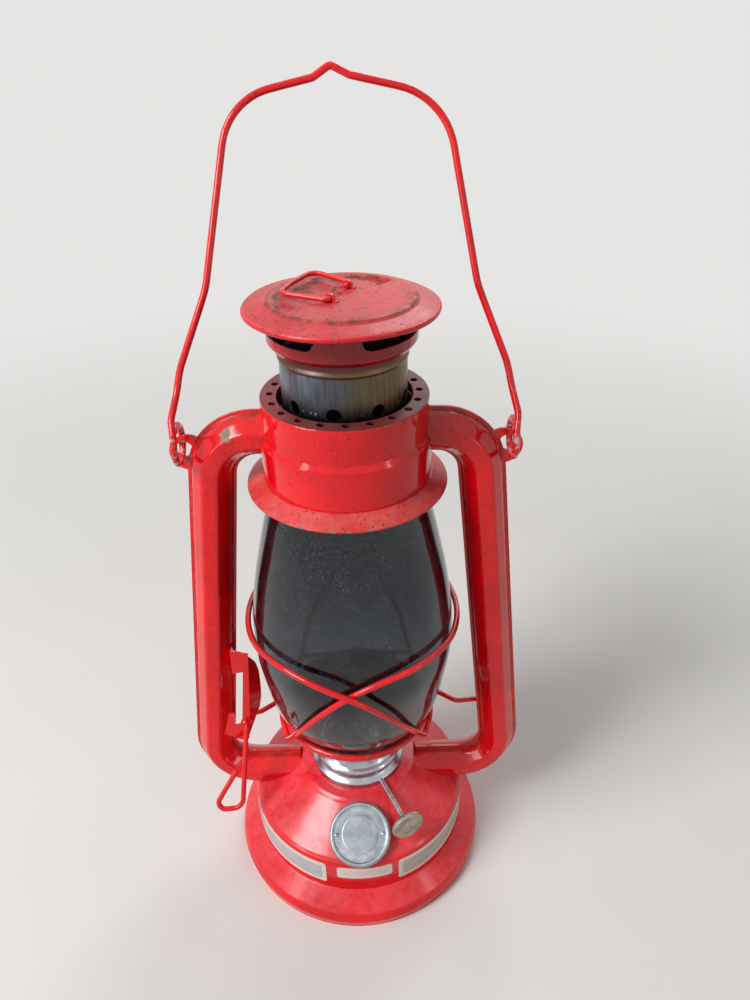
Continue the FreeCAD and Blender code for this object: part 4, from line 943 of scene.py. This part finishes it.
upper_line = coil(SPRING_MIDDLE, SPRING_TOP - SPRING_WIRE)
upper_coil = surface("spring_upper_turns", drawn_wire(upper_line, SPRING_WIRE, sides=12))
dress(upper_coil, "frame", "bare_steel", steel, "canopy_spring")
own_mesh(upper_coil)
lower_line = coil(BELL_Z + SPRING_WIRE, SPRING_MIDDLE)
lower_coil = surface("spring_lower_turns", drawn_wire(lower_line, SPRING_WIRE, sides=12))
dress(lower_coil, "globe_cage", "bare_steel", steel)
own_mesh(lower_coil)


# ---------------------------------------------------------------- vent drum
# The drum under the hood is a short enamelled collar, spun in to the chimney, with three long
# rounded slots.  Its enamel is painted darker and toward purple, partly for heat and partly as
# painted shade under the hood, and the slot rims are rubbed pale.
DRUM_R = 28.3
SLOT_Z = 293.9
SLOT_END_R = 3.1
DRUM_FOOT = [(24.4, 284.6, 0, 0.3), (26.6, 284.9, 1.6), (DRUM_R, 287.2, 2.0), (DRUM_R, SLOT_Z, 0, 0.3)]
DRUM_HEAD = [(DRUM_R, SLOT_Z, 0, 0.3), (DRUM_R, 300.0, 0)]


def long_slots(a):
    """Half openings of three slots: c within 36 degrees of the middle, then sqrt(c^2 - past^2)."""
    off = np.abs((a - math.radians(57.5) + math.pi / 3) % (2 * math.pi / 3) - math.pi / 3)
    past = np.clip((off - math.radians(36)) * DRUM_R, 0, SLOT_END_R)
    return np.sqrt(SLOT_END_R ** 2 - past ** 2)


# The darker reds are heat-baked enamel and also painted shade under the hood.
heated_shaded_enamel = enamel("baked_shaded_enamel", fresh="#cc0a18", deep="#8e0812", film="#4a1a26", dust=0.1,
                     soot=0.9, gloss=0.14)
drum = surface("drum", *pierced(DRUM_FOOT, DRUM_HEAD, 0.6, (0, 1), long_slots, 720))
dress(drum, "canopy", "red_enamel", heated_shaded_enamel, "hood_drum")


# ---------------------------------------------------------------- hood
# The hood is a wide pressed lid: a sloping brim with a rolled edge and a raised flat disc.  A
# knock has dished the left of the disc along a crease, where dirt has gathered, and the lift
# ring's wire goes through two small holes in it.
CREASE_AT = np.array([-13.9, -13.6])
CREASE_TO = np.array([8.7, 5.8])
HOOD_LINE = [(35.0, 299.5, 0), (28.6, 300.9, 0.8), (27.3, 301.9, 0.5, 0.25), (26.6, 302.0, 0.4),
             (0, 302.0, 0)]
RIVETS = ((-5.3, -0.9, 0.95), (-3.3, -3.8, 0.85))


def dish(points):
    """How far the disc is pushed in: 2 mm left of the crease, eased over 4 mm, inside r 26.

    It fades to nothing at the disc's edge and round the rear clip, which holds the sheet up.
    """
    way = (CREASE_TO - CREASE_AT) / np.linalg.norm(CREASE_TO - CREASE_AT)
    x = points[..., 0] - CREASE_AT[0]
    y = points[..., 1] - CREASE_AT[1]
    left = way[0] * y - way[1] * x
    ease = np.clip(left / 4, 0, 1)
    inside = np.clip((26.0 - np.hypot(points[..., 0], points[..., 1])) / 3, 0, 1)
    held_up = 1 - np.exp(-(np.hypot(points[..., 0] - 2.5, points[..., 1] - 8.2) / 6) ** 4)
    return 2.0 * ease ** 2 * (3 - 2 * ease) * inside * held_up * np.exp(-np.clip(left - 6, 0, None) / 14)


loop, wear = walled(*rounded(HOOD_LINE, 0.4), 0.7)
hood_points = around(loop, 288)
depth = dish(hood_points)
hood_points[..., 2] -= depth
rivets = sum(np.exp(-(np.hypot(hood_points[..., 0] - x, hood_points[..., 1] - y) / size) ** 6)
             for x, y, size in RIVETS)
hood_points[..., 2] -= rivets * 0.6
turn = np.linspace(0, 2 * math.pi, 288, endpoint=False)[:, None]
wave = 0.2 * np.sin(2 * turn + 1) + 0.12 * np.sin(5 * turn)
r = np.hypot(hood_points[..., 0], hood_points[..., 1])
hood_points[..., 2] += np.clip((r - 29) / 6, 0, 1) * wave
step_dirt = np.exp(-((r - 27.2) / 0.9) ** 2) * 0.45 + np.exp(-((r - 24.5) / 2.2) ** 2) * 0.22
crease_dirt = np.exp(-((depth - 0.7) / 0.5) ** 2) * 0.6 + depth * 0.14
dirt = np.clip(step_dirt + crease_dirt + rivets + 0.2 + inner_side(len(loop), 0.8), 0, 1)
roll_points = around(bead(35.3, 298.4, 1.1), 288)
roll_points[..., 2] += wave
roll_wear = 0.16 + 0.14 * np.sin(2 * turn + 2) + 1.5 * np.exp(-((turn - 4.6) / 0.06) ** 4)
hood = surface("hood", grid(hood_points, wear=wear, grime=dirt), grid(roll_points, wear=roll_wear))
# Its pink film on the faces that look up is dust and also a painted sheen of the light above.
hood_enamel = enamel("weathered_sheened_enamel", fresh="#ea0f1c", deep="#cc0b18", film="#dc656c", dust=0.65,
                     soot=0.95, gloss=0.26)
dress(hood, "canopy", "red_enamel", hood_enamel, "hood_plate")


# ---------------------------------------------------------------- lift ring
# A five-sided ring of wire lifts the hood.  Its two ends turn inward through small clips
# riveted to the disc.
coat("ring_clips", hood_enamel)
RING_A = np.array([3.3, 10.3, 303.3])
RING_B = np.array([-4.4, -9.2, 303.3])
RING_END = 4.2
RING_WIRE = 0.95
inward = (RING_A - RING_B) / np.linalg.norm(RING_A - RING_B)
ring_corners = [(*(RING_A - inward * RING_END), 0), (*RING_A, 1.6), (-10.9, 21.9, 304.3, 4.0),
                (-18.6, 9.0, 303.8, 20.0), (-22.0, -1.0, 303.5, 4.0), (*RING_B, 1.6),
                (*(RING_B + inward * RING_END), 0)]
lift_ring = surface("lift_ring_wire", drawn_wire(bent(ring_corners, spacing=0.6), RING_WIRE, sides=14))
dress(lift_ring, "lift_ring", "red_enamel", dust_sheen_enamel, "hood_ring")


# ---------------------------------------------------------------- bail
# The bail is one springy wire: a peaked top, two legs that bow in, and an open eye through each
# ear.  It leans back on its own weight.  The enamel is rubbed through in small places in the eyes,
# and the pale pinkish white of those places is also a painted highlight.
BAIL_LEAN = math.radians(23.8)
PIVOT = np.array([0, -5.3, 245.4])
EYE_X = 66.0
EYE_R = 7.6
BAIL_WIRE = 1.39
RUBBED_BELOW = 251


def bail_point(x, forward, h, bend):
    """A corner in the leaning bail: across, in front of its plane, and up along it."""
    up = np.array([0, math.sin(BAIL_LEAN), math.cos(BAIL_LEAN)])
    ahead = np.array([0, -math.cos(BAIL_LEAN), math.sin(BAIL_LEAN)])
    return (*(PIVOT + np.array([x, 0, 0]) + up * h + ahead * forward), bend)


def eye_points(side):
    """The open eye from its free end to the leg: 318 degrees of a circle about +X."""
    a = np.radians(np.arange(318, 0, -4)) - BAIL_LEAN
    x = np.full_like(a, side * EYE_X)
    return np.stack([x, PIVOT[1] - EYE_R * np.cos(a), PIVOT[2] - EYE_R * np.sin(a)], -1)


leg = [(EYE_X, EYE_R, 0, 0), (EYE_X, EYE_R, 3.0, 8), (66.9, 5.6, 9.6, 8), (65.2, 0.6, 20.0, 14),
       (63.6, 0, 28.8, 30), (51.9, 0, 59.0, 34), (40.2, 0, 126.1, 34)]
peak = [(-8.6, 0, 133.2, 4.0), (-2.2, 0, 137.5, 2.4), (5.0, 0, 133.9, 4.0)]
left = [bail_point(-x, f, h, bend) for x, f, h, bend in leg]
right = [bail_point(x, f, h, bend) for x, f, h, bend in leg[::-1]]
line = bent(left + [bail_point(*p) for p in peak] + right, spacing=1.5)
line = np.concatenate([eye_points(-1), line, eye_points(1)[::-1]])
# Wear in the eyes lets pale pinkish-white patches through: bare steel, and also a painted highlight.
rubbed = np.exp(-np.clip(line[:, 2] - RUBBED_BELOW, 0, None) / 5)[:, None]
rubbed = np.concatenate([rubbed[:1].repeat(4, 0), rubbed, rubbed[-1:].repeat(4, 0)]) * 0.32 + 0.1
rubbed_glint_enamel = enamel("rubbed_glint_enamel_red", bared=("#a8847f", "#dccbc6"))
bail = surface("bail_wire", drawn_wire(line, BAIL_WIRE, sides=18, wear=rubbed))
dress(bail, "bail", "red_enamel", rubbed_glint_enamel, "bail")


# ---------------------------------------------------------------- lift lever
# One wire lifts the globe: a thumb loop beside the left tube, a straight run through the
# bracket's eye, round behind the globe under the tab, and into a hole in the right tube.
LEVER_EYE = np.array([-55.5, -7.6, 86.8])
LEVER_FAR = np.array([64.0, 5.7, 85.0])
LEVER_Z = 84.9
LEVER_WIRE = 1.3
THUMB_AT = np.array([-55.1, -10.7, 86.9])
lever_way = (LEVER_FAR - LEVER_EYE) / np.linalg.norm(LEVER_FAR - LEVER_EYE)
flat_way = (LEVER_FAR - LEVER_EYE)[:2] / np.linalg.norm((LEVER_FAR - LEVER_EYE)[:2])
THUMB_TILT = math.radians(21)


def thumb_point(along, down, bend):
    """A corner of the thumb loop, whose plane hangs from the eye 21 degrees forward."""
    aside = np.array([*flat_way, 0.0])
    back = np.array([-flat_way[1], flat_way[0], 0.0])
    fall = np.array([0, 0, -math.cos(THUMB_TILT)]) - back * math.sin(THUMB_TILT)
    return (*(THUMB_AT + aside * along + fall * down), bend)


lever_corners = [thumb_point(-7.2, 23.4, 0), thumb_point(-21.2, 44.2, 5.2), thumb_point(-6.0, 44.2, 5.2),
                 thumb_point(0, 0, 1.9), (-55.5, -2.4, 86.6, 2.6), (-48.8, 1.2, LEVER_Z, 4.0),
                 (-41.2, 7.0, LEVER_Z, 5.0), (-41.2, 41.2, LEVER_Z, 30.0), (40.8, 41.2, LEVER_Z, 24.0),
                 (40.8, 12.6, LEVER_Z, 6.0), (*(LEVER_FAR - lever_way * 12.4), 6.0),
                 (*(LEVER_FAR + lever_way * 3.0), 0)]
lever = surface("lever_wire", drawn_wire(bent(lever_corners), LEVER_WIRE))
dress(lever, "lever", "red_enamel", body_enamel, "lift_lever")


# ---------------------------------------------------------------- floor, light and camera
# A pale floor fades into a pale room.  One soft lamp stands high on the left and a weaker one
# behind, and a tall narrow one on each side draws a bright line down the glass and the enamel.
floor_mesh = bpy.data.meshes.new("floor")
reach = 30.0
floor_mesh.from_pydata([(-reach, -reach, 0), (reach, -reach, 0), (reach, reach, 0), (-reach, reach, 0)], [],
                       [(0, 1, 2, 3)])
floor = bpy.data.objects.new("floor", floor_mesh)
bpy.context.scene.collection.objects.link(floor)
ground, tree, glossy = shader("pale_floor", **{"Roughness": 0.8, "IOR": 1.3})
place = add(tree, "TexCoord").outputs
mottle = add(tree, "TexNoise", {"Vector": place["Object"], "Scale": 6.0, "Detail": 3.0})
tone = add(tree, "ValToRGB", {"Fac": mottle}, stops=((0.3, colour("#dbd9d6")), (0.7, colour("#dfddda"))))
tree.links.new(tone.outputs[0], glossy.inputs["Base Color"])
reached = add(tree, "VectorMath", {0: place["Object"]}, operation="LENGTH")
fade = add(tree, "MapRange", {"Value": reached.outputs["Value"], "From Min": 0.3, "From Max": 0.95},
           interpolation_type="SMOOTHSTEP")
beyond = add(tree, "BsdfTransparent")
blended = add(tree, "MixShader", {0: fade, 1: glossy, 2: beyond})
tree.links.new(blended.outputs[0], tree.nodes["Material Output"].inputs["Surface"])
floor_mesh.materials.append(ground)

room = bpy.data.worlds.new("studio")
bpy.context.scene.world = room
room.use_nodes = True
tree = room.node_tree
tree.nodes.clear()
ray = add(tree, "LightPath").outputs
seen = add(tree, "Math", {0: ray["Is Camera Ray"], 1: ray["Is Transmission Ray"]}, operation="MAXIMUM")
shown = add(tree, "Math", {0: seen, 1: ray["Is Glossy Ray"]}, operation="MAXIMUM")
lighting = add(tree, "Background", {"Color": colour("#ffffff"), "Strength": 0.25})
backdrop = add(tree, "Background", {"Color": colour("#e6e5e3"), "Strength": 1.0})
both = add(tree, "MixShader", {0: shown, 1: lighting, 2: backdrop})
add(tree, "OutputWorld", {"Surface": both})


def lamp(name, at, aim, size, power):
    """A soft lamp, width by height, that faces a point."""
    light = bpy.data.lights.new(name, "AREA")
    light.shape = "RECTANGLE"
    light.size, light.size_y = size
    light.energy = power
    stand = bpy.data.objects.new(name, light)
    bpy.context.scene.collection.objects.link(stand)
    stand.location = at
    direction = np.array(aim) - np.array(at)
    pan = math.atan2(direction[0], -direction[1])
    tilt = math.atan2(math.hypot(direction[0], direction[1]), -direction[2])
    stand.rotation_euler = (tilt, 0, math.pi + pan)


middle = (0, 0, 0.17)
lamp("key", (-0.90, -0.55, 1.22), middle, (0.6, 0.6), 18)
lamp("back", (0.5, 1.2, 1.3), middle, (0.8, 0.8), 9)
lamp("left_strip", (-1.05, -0.75, 0.62), (0, 0, 0.14), (0.2, 0.8), 2.6)
lamp("right_strip", (1.1, -0.75, 0.55), (0, 0, 0.14), (0.12, 0.6), 1.0)

camera = bpy.data.objects.new("camera", bpy.data.cameras.new("camera"))
bpy.context.scene.collection.objects.link(camera)
camera.data.sensor_width = 36.0
camera.data.lens = 27.496
camera.data.clip_start = 0.01
camera.location = (0.0068965, -0.2707055, 0.3899345)
camera.rotation_euler = (math.radians(56.9289), math.radians(0.7273), math.radians(-1.3710))
bpy.context.scene.camera = camera
bpy.context.scene.view_settings.view_transform = "Standard"
